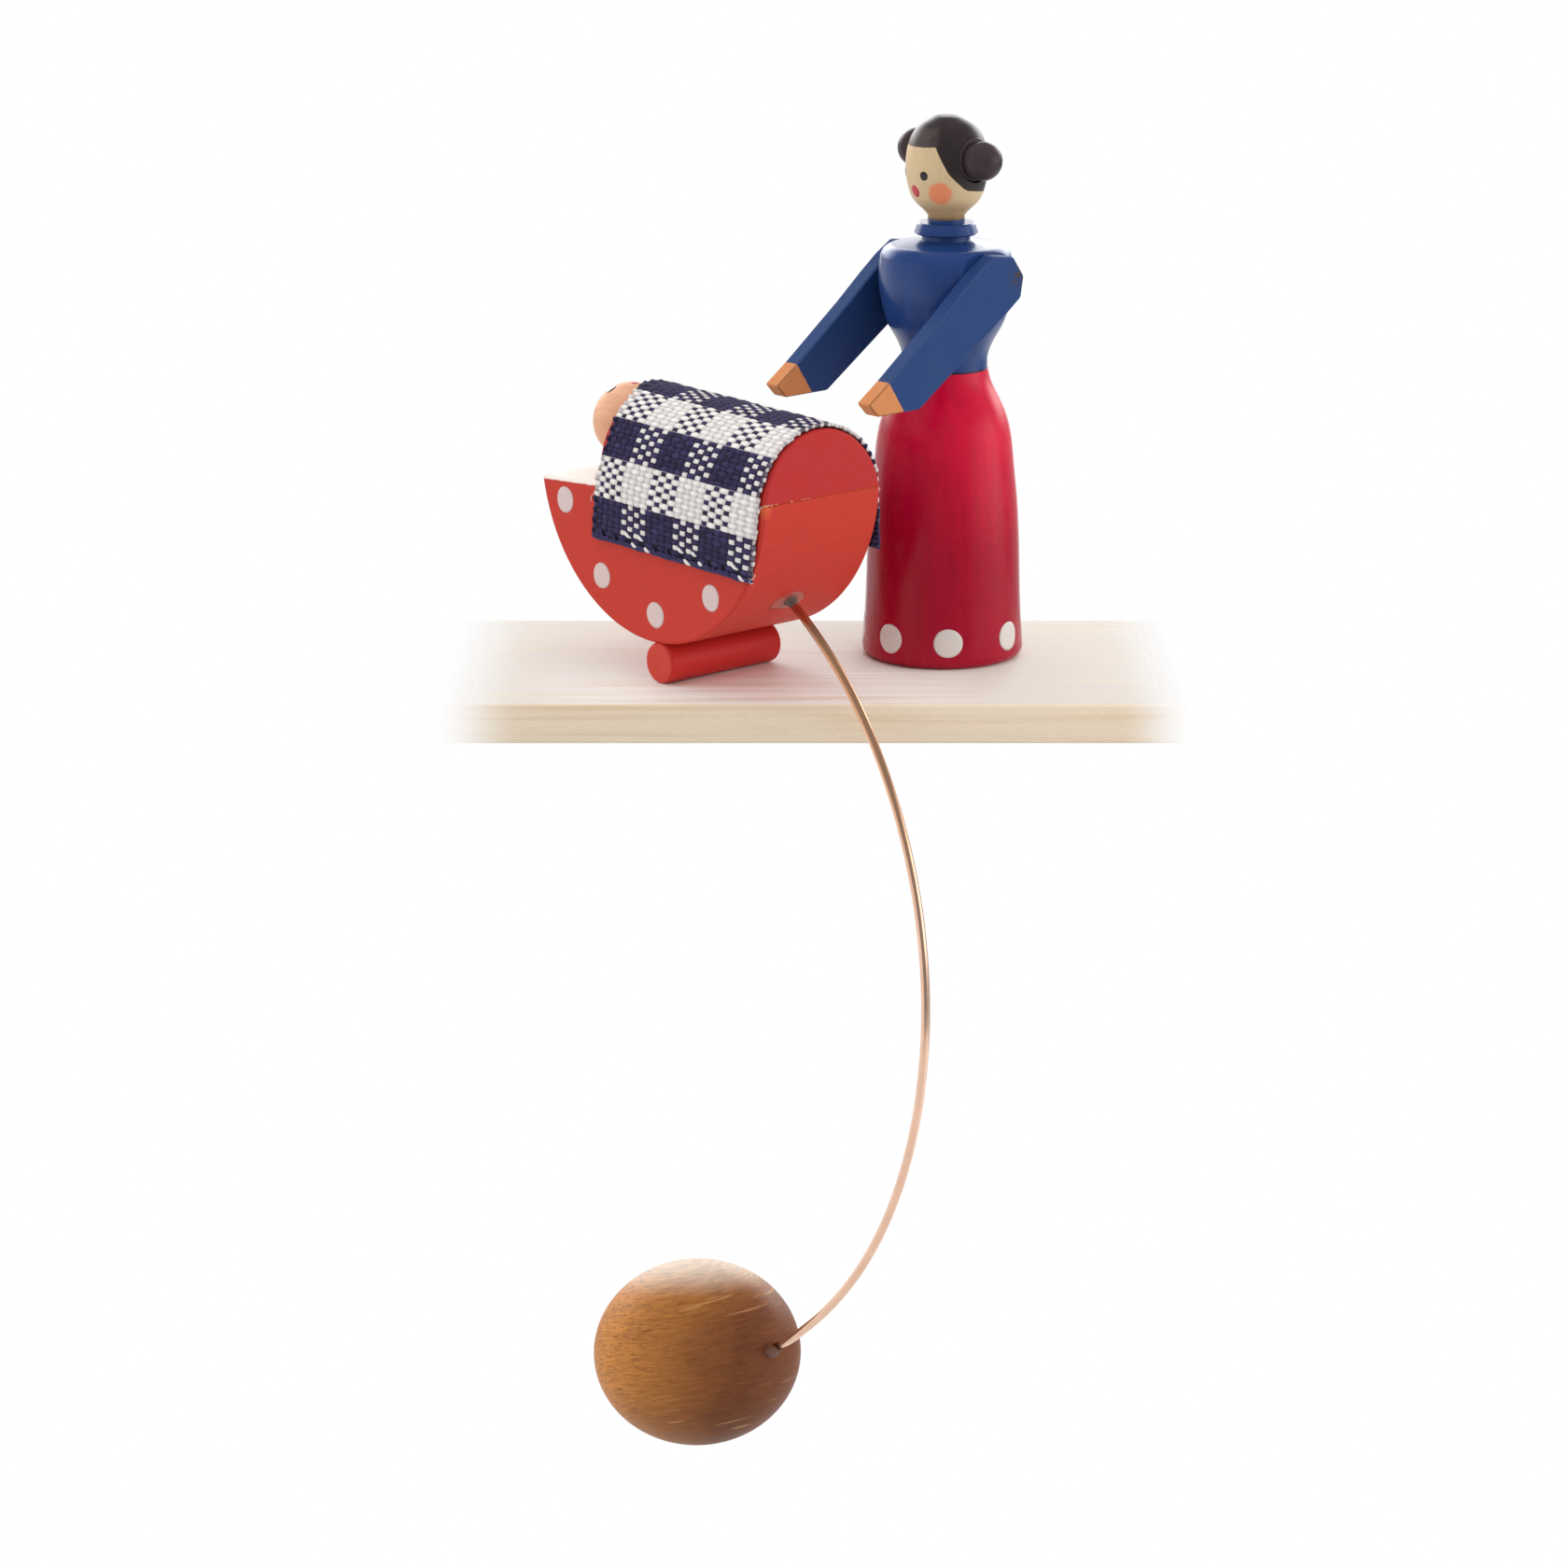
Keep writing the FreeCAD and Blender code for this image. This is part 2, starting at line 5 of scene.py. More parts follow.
import bpy
import numpy as np
from bpy.props import FloatProperty, FloatVectorProperty, IntProperty, PointerProperty
from mathutils import Euler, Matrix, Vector


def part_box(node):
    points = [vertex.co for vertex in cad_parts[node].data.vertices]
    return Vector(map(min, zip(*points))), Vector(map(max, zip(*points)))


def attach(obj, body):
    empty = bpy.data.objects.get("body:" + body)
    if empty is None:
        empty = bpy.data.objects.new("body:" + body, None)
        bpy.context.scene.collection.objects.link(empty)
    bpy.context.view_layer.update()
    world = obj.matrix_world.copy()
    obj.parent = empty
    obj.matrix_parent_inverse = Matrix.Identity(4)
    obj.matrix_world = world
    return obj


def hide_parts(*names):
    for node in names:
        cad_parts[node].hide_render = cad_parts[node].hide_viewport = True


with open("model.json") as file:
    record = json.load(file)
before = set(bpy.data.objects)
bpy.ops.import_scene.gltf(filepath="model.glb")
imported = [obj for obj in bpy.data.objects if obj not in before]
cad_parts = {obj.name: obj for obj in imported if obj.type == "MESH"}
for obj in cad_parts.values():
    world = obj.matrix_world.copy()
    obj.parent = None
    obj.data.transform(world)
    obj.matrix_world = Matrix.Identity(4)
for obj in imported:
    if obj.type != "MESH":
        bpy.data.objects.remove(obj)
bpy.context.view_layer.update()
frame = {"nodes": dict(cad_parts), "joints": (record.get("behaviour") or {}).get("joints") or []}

bl_info = {
    "name": "Wooden Balancing Toy",
    "version": (1, 0, 0),
    "blender": (4, 5, 0),
    "location": "3D View > Sidebar > Toy",
    "description": "Paint, cloth, wire and wood of a mother figure beside a rocking cradle",
    "category": "Object",
}

MM = 0.001


def cad_box(node):
    """Low and high corner of a CAD node, in millimetres."""
    return [np.array(corner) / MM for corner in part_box(node)]


# Places in millimetres, and the level cradle's own axes in the world.
UP = (0.0, 0.0, 1.0)
AXIS_POINT = np.array(frame["joints"][0]["pos_m"]) / MM
REST_TILT = math.radians(3.7)
ALONG = (math.cos(REST_TILT), 0, math.sin(REST_TILT))
ACROSS = (0, 1, 0)
ABOVE = (-math.sin(REST_TILT), 0, math.cos(REST_TILT))
CRADLE_HALF_WIDTH = np.diff(cad_box("cradle_block"), axis=0)[0, 1] / 2
RIM_RADIUS = 18.87
RIM_CENTRE = 21.06
DECK_DROP = 2.04
DECK = RIM_CENTRE - DECK_DROP
DECK_END = math.sqrt(RIM_RADIUS ** 2 - DECK_DROP ** 2)
BED_LENGTH = 27.25
BED_RISE = 2.45
BED_AXIS_DROP = 1.18
WIRE_HOLE_ANGLE = math.radians(42.5)
WIRE_HOLE_SLOPE = math.radians(39.2)
WEIGHT_MOUTH = (-0.57, AXIS_POINT[1], -77.34)
WEIGHT_MOUTH_SLOPE = math.radians(31.0)
WEIGHT_SLOPE = math.radians(18.5)
NECK_STUB = 0.4
COLLAR_TOP = cad_box("head")[0][2] - NECK_STUB
FACE_TURN = math.radians(-10.7)


def paint(red, green, blue):
    """Linear colour of a paint given as display values from 0 to 255."""
    shares = np.array([red, green, blue]) / 255
    linear = np.where(shares <= 0.04045, shares / 12.92, ((shares + 0.055) / 1.055) ** 2.4)
    return tuple(float(x) for x in linear)


def colour_setting(name, description, *display):
    """A colour that the user can change."""
    return FloatVectorProperty(
        name=name, description=description, subtype="COLOR", size=3, min=0, max=1, default=paint(*display))


def length_setting(name, description, value):
    """A length that the user can change, given in millimetres and kept in metres."""
    return FloatProperty(name=name, description=description, default=value * MM, unit="LENGTH")


def angle_setting(name, description, degrees):
    """An angle that the user can change."""
    return FloatProperty(name=name, description=description, default=math.radians(degrees), unit="ROTATION")


class ToyPaints(bpy.types.PropertyGroup):
    """Colours of the paints and bare woods."""

    skirt: colour_setting("Skirt", "Crimson of the skirt", 176, 4, 44)
    blouse: colour_setting("Blouse", "Blue of the bust", 37, 66, 124)
    sleeve: colour_setting("Sleeve", "Blue of the arms", 36, 66, 118)
    hand: colour_setting("Hand", "Flesh brown of the hands", 216, 140, 88)
    maple: colour_setting("Head wood", "Clear wood of the head", 220, 192, 150)
    hair: colour_setting("Hair", "Brown black of the hair", 52, 43, 44)
    cheek: colour_setting("Cheek", "Orange of the cheeks", 240, 134, 90)
    lip: colour_setting("Mouth", "Red of the mouths", 196, 40, 52)
    side: colour_setting("Cradle", "Orange red of the cradle", 203, 59, 46)
    bed: colour_setting("Bedding", "Red of the bar on the cradle", 188, 46, 44)
    foot: colour_setting("Foot", "Red of the rocker foot", 192, 44, 40)
    deck: colour_setting("Deck", "White of the cradle's top", 243, 237, 228)
    flesh: colour_setting("Baby", "Flesh colour of the baby's head", 232, 176, 140)
    dot_white: colour_setting("Skirt dots", "White of the skirt's dots", 222, 213, 208)
    dot_pink: colour_setting("Cradle dots", "Pinkish white of the cradle's dots", 222, 198, 196)
    copper: colour_setting("Wire", "Copper colour of the wire", 246, 204, 178)
    weight_light: colour_setting("Weight, light", "Light stain of the weight", 208, 136, 62)
    weight_dark: colour_setting("Weight, dark", "Dark stain of the weight", 118, 68, 40)
    board: colour_setting("Board", "Pale wood of the shelf board", 219, 211, 202)


class ToyCloth(bpy.types.PropertyGroup):
    """Weave of the blanket."""

    warp_pitch: length_setting("Warp pitch", "Distance between yarns that go round the bed", 1.1125)
    weft_pitch: length_setting("Weft pitch", "Distance between yarns along the bed", 0.573)
    warps: IntProperty(name="Warps", description="Number of yarns that go round the bed", default=24)
    wefts: IntProperty(name="Wefts", description="Number of yarns along the bed", default=72)
    middle_radius: length_setting("Radius", "Radius of the cloth's middle round the bed", 8.66)
    navy: colour_setting("Navy yarn", "Dark yarn", 58, 50, 92)
    white: colour_setting("White yarn", "Light yarn", 252, 248, 245)


class ToyStage(bpy.types.PropertyGroup):
    """Shelf board and camera."""

    board_thickness: length_setting("Board thickness", "Thickness of the shelf board", 4.34)
    board_front: length_setting("Board front", "Distance of its front edge from the figure's axis", 23.51)
    board_back: length_setting("Board back", "Distance of its back edge from the figure's axis", 14.79)
    camera_left: length_setting("Camera left", "Distance of the camera to the left of the figure", 17.735)
    camera_away: length_setting("Camera distance", "Level distance of the camera from the figure", 500)
    camera_height: length_setting("Camera height", "Height of the camera over the board", 124.77)
    heading: angle_setting("Heading", "Direction in which the camera looks", 48.67)
    pitch: angle_setting("Pitch", "How far down the camera looks", 15.66)
    lens: FloatProperty(name="Lens", description="Focal length on a 36 mm sensor, in millimetres",
                        default=105.85)


# Geometry helpers. Points are arrays of millimetres until they go into a mesh.

def to_world(level):
    """World place of points given in the level cradle's axes about the rocking axis.

    Each point is x ALONG + y ACROSS + z ABOVE, and then the axis point is added.
    """
    return level @ np.array([ALONG, ACROSS, ABOVE]) + AXIS_POINT


def ease(share):
    """Smooth step: 3t^2 - 2t^3 of the share clipped to 0..1."""
    t = np.clip(share, 0, 1)
    return t * t * (3 - 2 * t)


def unit(vectors):
    """Vectors divided by their lengths."""
    return vectors / np.linalg.norm(vectors, axis=-1, keepdims=True)


def grid_quads(rows, columns, wrap=False):
    """Corner indices of the quads of a grid; wrap joins the last column to the first."""
    i = np.arange(rows - 1)[:, None] * columns
    j = np.arange(columns if wrap else columns - 1)[None, :]
    k = (j + 1) % columns
    return np.stack([i + j, i + k, i + columns + k, i + columns + j], -1).reshape(-1, 4)


def make_piece(name, points, faces, material, body, slot, uv=None, relief=None):
    """A smooth-shaded mesh of points in millimetres, with a material, on a CAD body when one is given; the
    slot argument is not used.

    faces is a list of index arrays, uv an array of one pair per point, and relief
    an array of one height per point.
    """
    mesh = bpy.data.meshes.new(name)
    corners = [face for block in faces for face in block.tolist()]
    mesh.from_pydata((points.reshape(-1, 3) * MM).tolist(), [], corners)
    mesh.polygons.foreach_set("use_smooth", np.ones(len(corners), bool))
    if uv is not None:
        index = np.concatenate([block.reshape(-1) for block in faces])
        layer = mesh.uv_layers.new(name="UVMap")
        layer.uv.foreach_set("vector", uv[index].astype(np.float32).reshape(-1))
    if relief is not None:
        layer = mesh.attributes.new("relief", "FLOAT", "POINT")
        layer.data.foreach_set("value", relief.astype(np.float32))
    mesh.materials.append(material)
    mesh.validate()
    piece = bpy.data.objects.new(name, mesh)
    bpy.context.scene.collection.objects.link(piece)
    if body:
        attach(piece, body)
    return piece


def closed_rings(rings, top, bottom):
    """Points and faces of a stack of closed rings, with a pole point at each end.

    rings is (n, spokes, 3), running from the top pole to the bottom pole.
    """
    count, spokes = rings.shape[:2]
    points = np.concatenate([rings.reshape(-1, 3), [top], [bottom]])
    j = np.arange(spokes)
    k = (j + 1) % spokes
    last = (count - 1) * spokes
    pole = count * spokes
    caps = [np.stack([j, np.full(spokes, pole), k], -1),
            np.stack([last + k, np.full(spokes, pole + 1), last + j], -1)]
    return points, [grid_quads(count, spokes, True)] + caps


def join(parts):
    """One list of points and faces from several."""
    points, faces, start = [], [], 0
    for part_points, part_faces in parts:
        points.append(part_points)
        faces += [block + start for block in part_faces]
        start += len(part_points)
    return np.concatenate(points), faces


def tube(path, radius, spokes):
    """Closed tube round a path of (n, 3) points; radius may be one value per point.

    Each ring is centre + r (cos a N + sin a B), where T is the path's direction,
    N is a fixed side vector made square to T, and B = T x N.
    """
    radius = np.broadcast_to(radius, len(path))[:, None, None]
    along = unit(np.gradient(path, axis=0))
    side = np.where(np.abs(along[:, 2:3]) > 0.9, [1.0, 0, 0], UP)
    normal = unit(np.cross(along, side))[:, None]
    binormal = np.cross(along[:, None], normal)
    turn = np.linspace(0, 2 * math.pi, spokes, endpoint=False)[None, :, None]
    rings = path[:, None] + radius * (np.cos(turn) * normal + np.sin(turn) * binormal)
    return closed_rings(rings, path[0], path[-1])


def lens_patch(surface, centre, size, height, outline=0.0, tilt=0.0, seed=0):
    """Points and faces of a thin domed blob of paint on a surface.

    The blob is an ellipse rho (a cos t, b sin t) in the surface's two parameters,
    its edge waved by `outline`. Its top stands height (1 - rho^4) proud, and its
    underside closes just below the surface. surface(a, b) gives points and normals.
    """
    t = np.linspace(0, 2 * math.pi, 40, endpoint=False)
    phase = np.random.default_rng(seed).uniform(0, 2 * math.pi, 3)
    edge = 1 + outline * sum(np.sin((k + 2) * t + phase[k]) / (k + 1) for k in range(3))
    rho = np.linspace(0.15, 1, 7)
    proud = np.append(height * (1 - rho ** 4), [-height, -2 * height])
    rho = np.append(rho, [0.97, 0.5])[:, None]
    x = rho * edge * size[0] * np.cos(t)
    y = rho * edge * size[1] * np.sin(t)
    c, s = math.cos(tilt), math.sin(tilt)
    place, normal = surface(centre[0] + x * c - y * s, centre[1] + x * s + y * c)
    blob = place + normal * proud[:, None, None]
    middle, out = surface(np.array([centre[0]]), np.array([centre[1]]))
    return closed_rings(blob[:, ::-1], (middle + out * height)[0], (middle - out * 2 * height)[0])


def turned_surface(node, low, high, least_radius):
    """Surface function of a turned CAD node about Z, from its own outer points.

    The radius at a height is read between the node's points r(z). Parameters are
    the angle from -Y towards +X times a radius of 1 mm, and the height.
    """
    mesh = frame["nodes"][node].data
    points = np.empty(len(mesh.vertices) * 3, np.float32)
    mesh.vertices.foreach_get("co", points)
    points = points.reshape(-1, 3).astype(float) / MM
    radius = np.hypot(points[:, 0], points[:, 1])
    keep = (radius > least_radius) & (points[:, 2] > low) & (points[:, 2] < high)
    keep &= np.abs(points[:, 0]) < 0.55 * radius
    order = np.argsort(points[keep, 2])
    heights, radii = points[keep, 2][order], radius[keep][order]

    def surface(turn, z):
        r, above, below = [np.interp(z + step, heights, radii) for step in (0, 0.15, -0.15)]
        slope = (above - below) / 0.3
        place = np.stack([r * np.sin(turn), -r * np.cos(turn), z + 0 * turn], -1)
        normal = np.stack([np.sin(turn), -np.cos(turn), -slope + 0 * turn], -1)
        return place, unit(normal)

    return surface


def side_surface(side):
    """Surface function of the cradle's flat side, near (-1) or far (1).

    Parameters are the distance along it, mirrored on the far side so that blobs
    still face outwards, and the height over the rocking axis.
    """
    def surface(x, z):
        place = np.stack([-side * x, np.full_like(x, side * CRADLE_HALF_WIDTH), z], -1)
        return to_world(place), np.broadcast_to([0.0, side, 0], place.shape)

    return surface


def rim_surface(arc, y):
    """The cradle's round rim, by the arc from straight down towards the wire, and y."""
    turn = arc / RIM_RADIUS
    out = np.stack([np.sin(turn), 0 * turn, -np.cos(turn)], -1)
    place = out * RIM_RADIUS + np.array([0, 0, RIM_CENTRE])
    place[..., 1] = y
    return to_world(place), to_world(out) - AXIS_POINT


def ball_surface(centre, radius, facing):
    """Surface function of a ball, by distances sideways and upwards from a facing direction."""
    ahead = unit(np.asarray(facing, float))
    sideways = unit(np.cross([0, 1.0, 0.001], ahead))
    upwards = np.cross(ahead, sideways)

    def surface(a, b):
        out = unit(ahead + (a / radius)[..., None] * sideways + (b / radius)[..., None] * upwards)
        return centre + radius * out, out

    return surface


class Nodes:
    """A node tree, with short calls that add a node and give back one output."""

    def __init__(self, tree):
        self.tree = tree

    def node(self, kind, inputs, output=0, **settings):
        """Add a node, set its options, feed its inputs, and give back one output."""
        made = self.tree.nodes.new(kind)
        for key, value in settings.items():
            setattr(made, key, value)
        for key, value in inputs.items():
            self.feed(made.inputs[key], value)
        return made.outputs[output]

    def feed(self, socket, value):
        """Link a socket to an output, or set its value."""
        if isinstance(value, bpy.types.NodeSocket):
            self.tree.links.new(value, socket)
        elif hasattr(value, "__len__") and len(value) == 3 and len(socket.default_value) == 4:
            socket.default_value = (*value, 1)
        else:
            socket.default_value = value

    def show(self, shader):
        """Send a shader to the tree's output."""
        output = next(node for node in self.tree.nodes if node.bl_idname.startswith("ShaderNodeOutput"))
        self.tree.links.new(shader, output.inputs["Surface"])

    def math(self, operation, a, b=0.0, c=0.0):
        return self.node("ShaderNodeMath", {0: a, 1: b, 2: c}, operation=operation)

    def plus(self, *terms):
        return functools.reduce(functools.partial(self.math, "ADD"), terms)

    def times(self, *factors):
        return functools.reduce(functools.partial(self.math, "MULTIPLY"), factors)

    def vector(self, operation, a, b=(0, 0, 0), scale=1.0):
        output = "Value" if operation in ("DOT_PRODUCT", "DISTANCE") else "Vector"
        return self.node("ShaderNodeVectorMath", {0: a, 1: b, 3: scale}, output, operation=operation)

    def span(self, value, low, high, to_low=0.0, to_high=1.0, smooth=False):
        """A value's range mapped to another and clamped."""
        inputs = {"Value": value, "From Min": low, "From Max": high, "To Min": to_low, "To Max": to_high}
        kind = "SMOOTHSTEP" if smooth else "LINEAR"
        return self.node("ShaderNodeMapRange", inputs, interpolation_type=kind)


class Finish(Nodes):
    """A material, whose colour is built up in coats.

    Vectors are Object coordinates in millimetres.
    """

    def __init__(self, name, colour, **inputs):
        self.material = bpy.data.materials.new(name)
        self.material.use_nodes = True
        super().__init__(self.material.node_tree)
        self.shader = self.tree.nodes["Principled BSDF"]
        self.place = self.vector("SCALE", self.node("ShaderNodeTexCoord", {}, "Object"), scale=1 / MM)
        self.paint(colour)
        self.set(**inputs)

    def set(self, **inputs):
        """Feed the surface shader's inputs, with underscores for spaces."""
        for key, value in inputs.items():
            self.feed(self.shader.inputs[key.replace("_", " ")], value)

    def paint(self, colour):
        """Give the whole finish a colour."""
        self.colour = colour
        self.set(Base_Color=colour)

    def coat(self, share, colour):
        """Lay a colour over the finish so far, by a share."""
        self.paint(self.mix(share, self.colour, colour))

    def tone(self, share, low, high):
        """Shade the finish so far."""
        self.paint(self.shade(self.colour, share, low, high))

    def mix(self, share, a, b):
        return self.node("ShaderNodeMix", {0: share, 6: a, 7: b}, 2, data_type="RGBA")

    def shade(self, colour, share, low, high):
        """A colour times a factor that goes from low to high with a share."""
        factor = self.span(share, 0.0, 1.0, low, high)
        grey = self.node("ShaderNodeCombineXYZ", {0: factor, 1: factor, 2: factor})
        return self.vector("MULTIPLY", colour, grey)

    def along(self, direction, origin=(0, 0, 0)):
        """Distance of the shaded point from an origin along a direction."""
        offset = self.vector("SUBTRACT", self.place, tuple(origin))
        return self.vector("DOT_PRODUCT", offset, tuple(unit(np.asarray(direction, float))))

    def far(self, spot, place=None):
        """Distance of the shaded point, or a given one, from a spot."""
        return self.vector("DISTANCE", self.place if place is None else place, tuple(spot))

    def noise(self, scale, detail=3.0, roughness=0.5, vector=None, distortion=0.0):
        inputs = {"Vector": self.place if vector is None else vector, "Scale": scale,
                  "Detail": detail, "Roughness": roughness, "Distortion": distortion}
        return self.node("ShaderNodeTexNoise", inputs)

    def grain(self, scales, detail=3.0, roughness=0.6, axes=None, origin=(0, 0, 0), distortion=0.0):
        """Noise stretched along three axes, which are the world's or given ones."""
        if axes is None:
            place = self.vector("MULTIPLY", self.place, scales)
        else:
            parts = [self.times(self.along(axis, origin), scale) for axis, scale in zip(axes, scales)]
            place = self.node("ShaderNodeCombineXYZ", dict(enumerate(parts)))
        return self.noise(1.0, detail, roughness, place, distortion)

    def sway(self, value, amount, scale, detail=3.0):
        """A value moved up and down by noise, for an edge that isn't straight."""
        return self.plus(value, self.span(self.noise(scale, detail), 0.0, 1.0, -amount, amount))

    def wobble(self, amount, scale):
        """The shaded place moved about by noise, for a spot with a hand-dabbed outline."""
        inputs = {"Vector": self.place, "Scale": scale, "Detail": 2.0}
        cloud = self.node("ShaderNodeTexNoise", inputs, "Color")
        offset = self.vector("SUBTRACT", cloud, (0.5, 0.5, 0.5))
        return self.vector("ADD", self.place, self.vector("SCALE", offset, scale=amount))

    def bump(self, height, depth, strength=1.0):
        """Bump of a height share, depth in millimetres, put on the shader on top of earlier ones."""
        inputs = {"Height": height, "Distance": depth * MM, "Strength": strength}
        earlier = self.shader.inputs["Normal"].links
        if earlier:
            inputs["Normal"] = earlier[0].from_socket
        self.set(Normal=self.node("ShaderNodeBump", inputs))

    def put_on(self, *nodes):
        """Give the finish to CAD nodes."""
        for node in nodes:
            target = frame["nodes"][node].data
            target.materials.clear()
            target.materials.append(self.material)


def turned_paint(name, colour, roughness, gleam, rings=0.02, mottle=0.12, axes=None):
    """Brushed satin paint on a turned piece, with fine rings, mottling and specks.

    axes are the piece's own, the turning axis last. The rings vary mostly along
    the turning axis, and the brush strokes mostly across it.
    """
    f = Finish(name, colour, Specular_IOR_Level=gleam)
    cloud = f.noise(0.35, 4.0, 0.6)
    brush = f.grain((1.5, 1.5, 0.14), axes=axes)
    f.tone(cloud, 1 - mottle, 1 + mottle)
    f.tone(brush, 0.8, 1.2)
    f.tone(f.noise(3.2, 3.0, 0.6), 0.96, 1.04)
    f.set(Roughness=f.span(cloud, 0.3, 0.7, roughness - 0.03, roughness + 0.05))
    f.bump(brush, 0.012)
    f.bump(f.grain((0.25, 0.25, 4.5), axes=axes), rings)
    return f


def sawn_paint(name, colour, axes, roughness, contrast=0.06, fineness=6.0):
    """Thin matt paint on a sawn or sanded piece, with the grain showing through.

    axes put the grain's direction first.
    """
    f = Finish(name, colour, Specular_IOR_Level=0.2)
    cloud = f.noise(0.45, 4.0, 0.65)
    fibre = f.grain((0.1 * fineness, fineness, fineness), 4.0, 0.7, axes)
    f.tone(cloud, 0.92, 1.08)
    f.tone(fibre, 1 - contrast, 1 + contrast)
    f.set(Roughness=f.span(cloud, 0.3, 0.7, roughness - 0.06, roughness + 0.08))
    f.bump(fibre, 0.02)
    f.bump(f.noise(7.0, 2.0), 0.01)
    return f


def gloss_paint(name, colour, roughness, wave):
    """Thick dabbed paint with a slightly uneven colour."""
    f = Finish(name, colour, Roughness=roughness)
    cloud = f.noise(1.6, 3.0, 0.6)
    f.tone(cloud, 1 - wave, 1 + wave)
    f.bump(cloud, 0.02)
    return f.material


def shaded(name, colour, scale, low, high, roughness):
    """One colour made darker and lighter by noise, for yarn and dried glue."""
    f = Finish(name, colour, Roughness=roughness)
    f.tone(f.noise(scale), low, high)
    return f.material


def clouded(name, scale, dark, light, roughness):
    """Two colours mixed by noise, for dark and brown glue."""
    f = Finish(name, dark, Roughness=roughness)
    f.coat(f.noise(scale), light)
    return f.material


class TOY_OT_figure(bpy.types.Operator):
    """Paint the mother figure: skirt, bust, head, hair knobs and arms."""

    bl_idname = "toy.figure"
    bl_label = "Paint Figure"

    # The hairline: angle from the middle of the face in degrees, height over the collar
    HAIRLINE = ((0, 8.48), (18, 8.5), (40.6, 8.6), (41.4, 8.45), (52.3, 6.87), (60.2, 5.77),
                (70.2, 4.99), (83, 4.18), (91, 3.87), (105, 3.75), (132, 3.5), (180, 3.45))
    # Heights between which the skirt is painted brighter, a painted highlight of the light from above on
    # the hips
    HIP_HIGHLIGHT = (9.0, 28.0)
    # The cheeks: turn from the middle of the face, distance from the axis, height over the collar
    CHEEK_TURN = math.radians(47.4)
    CHEEK_REACH = 4.12
    CHEEK_HEIGHT = 3.56
    # A point of the wrist line, and the middle of the worn patch on one shoulder
    WRIST = (0, -15.9, 33.4)
    WORN_SHOULDER = (8.4, 3.4, 42.9)

    def execute(self, context):
        paints = context.scene.toy_paints
        self.skirt(paints)
        self.blouse(paints)
        self.head(paints)
        hair = turned_paint("hair paint", paint(68, 56, 58), roughness=0.3, gleam=0.14, mottle=0.2)
        hair.put_on("hair_bun_left", "hair_bun_right")
        self.arms(paints)
        return {"FINISHED"}

    def skirt(self, paints):
        """Satin crimson, painted brighter toward the hips: a painted highlight of the light from above."""
        f = turned_paint("crimson paint", paints.skirt, roughness=0.26, gleam=0.24, rings=0.01)
        # Painted highlight: the crimson grows brighter up to the hips, for the light from above.
        f.tone(f.span(f.along(UP), *self.HIP_HIGHLIGHT, smooth=True), 0.88, 1.52)
        f.put_on("skirt")

    def blouse(self, paints):
        """Satin blue, painted darker in a thin band just above the waist joint."""
        f = turned_paint("blouse paint", paints.blouse, roughness=0.22, gleam=0.36)
        over_waist = f.along(UP, (0, 0, cad_box("skirt")[1][2] + 0.05))
        f.coat(f.span(over_waist, 0.0, 0.25, 1.0, 0.0), paint(24, 26, 44))
        f.put_on("bodice")

    def head(self, paints):
        """Clear wood with the hair painted over it down to a hairline, and soft cheeks, with painted shade
        under the chin and a fringe that is partly a painted sheen.

        The hairline is a height for each angle from the middle of the face, held
        as the stops of a ramp: a level fringe, a step, then a sweep to the nape.
        """
        f = Finish("head wood and hair", paints.maple)
        height = f.along(UP, (0, 0, COLLAR_TOP))
        forward = f.along((math.sin(FACE_TURN), -math.cos(FACE_TURN), 0))
        sideways = f.along((math.cos(FACE_TURN), math.sin(FACE_TURN), 0))
        turn = f.math("ARCTAN2", f.math("ABSOLUTE", sideways), forward)
        hairline = f.node("ShaderNodeValToRGB", {0: f.math("DIVIDE", turn, math.pi)})
        ramp = hairline.node.color_ramp
        for degrees, _ in self.HAIRLINE[1:-1]:
            ramp.elements.new(degrees / 180)
        for element, (degrees, level) in zip(ramp.elements, self.HAIRLINE):
            element.position = degrees / 180
            element.color = (level / 10,) * 3 + (1,)
        over = f.math("SUBTRACT", height, f.times(hairline, 10.0))
        painted = f.span(f.sway(over, 0.06, 2.0, 2.0), -0.03, 0.03)

        fibre = f.grain((3.2, 3.2, 0.35), 4.0)
        f.tone(f.noise(0.35), 0.93, 1.05)
        f.tone(fibre, 0.88, 1.1)
        # Painted shade under the chin: the wood is painted darker and browner toward the collar. Below
        # that, the joint with the collar is painted dark brown.
        f.coat(f.span(height, 3.0, 0.9, 0.0, 0.6), paint(184, 138, 84))
        f.coat(f.span(f.sway(height, 0.1, 1.5), 0.85, 0.6, 0.0, 0.8), paint(92, 70, 50))
        for side in (-1, 1):
            cheek = FACE_TURN + side * self.CHEEK_TURN
            spot = (self.CHEEK_REACH * math.sin(cheek), -self.CHEEK_REACH * math.cos(cheek),
                    COLLAR_TOP + self.CHEEK_HEIGHT)
            blush = f.span(f.far(spot, f.wobble(0.3, 1.2)), 1.05, 1.55, 1.0, 0.0, smooth=True)
            f.coat(f.times(blush, 0.88), paints.cheek)

        hair = f.shade(paints.hair, f.grain((0.8, 2.5, 0.5)), 0.75, 1.3)
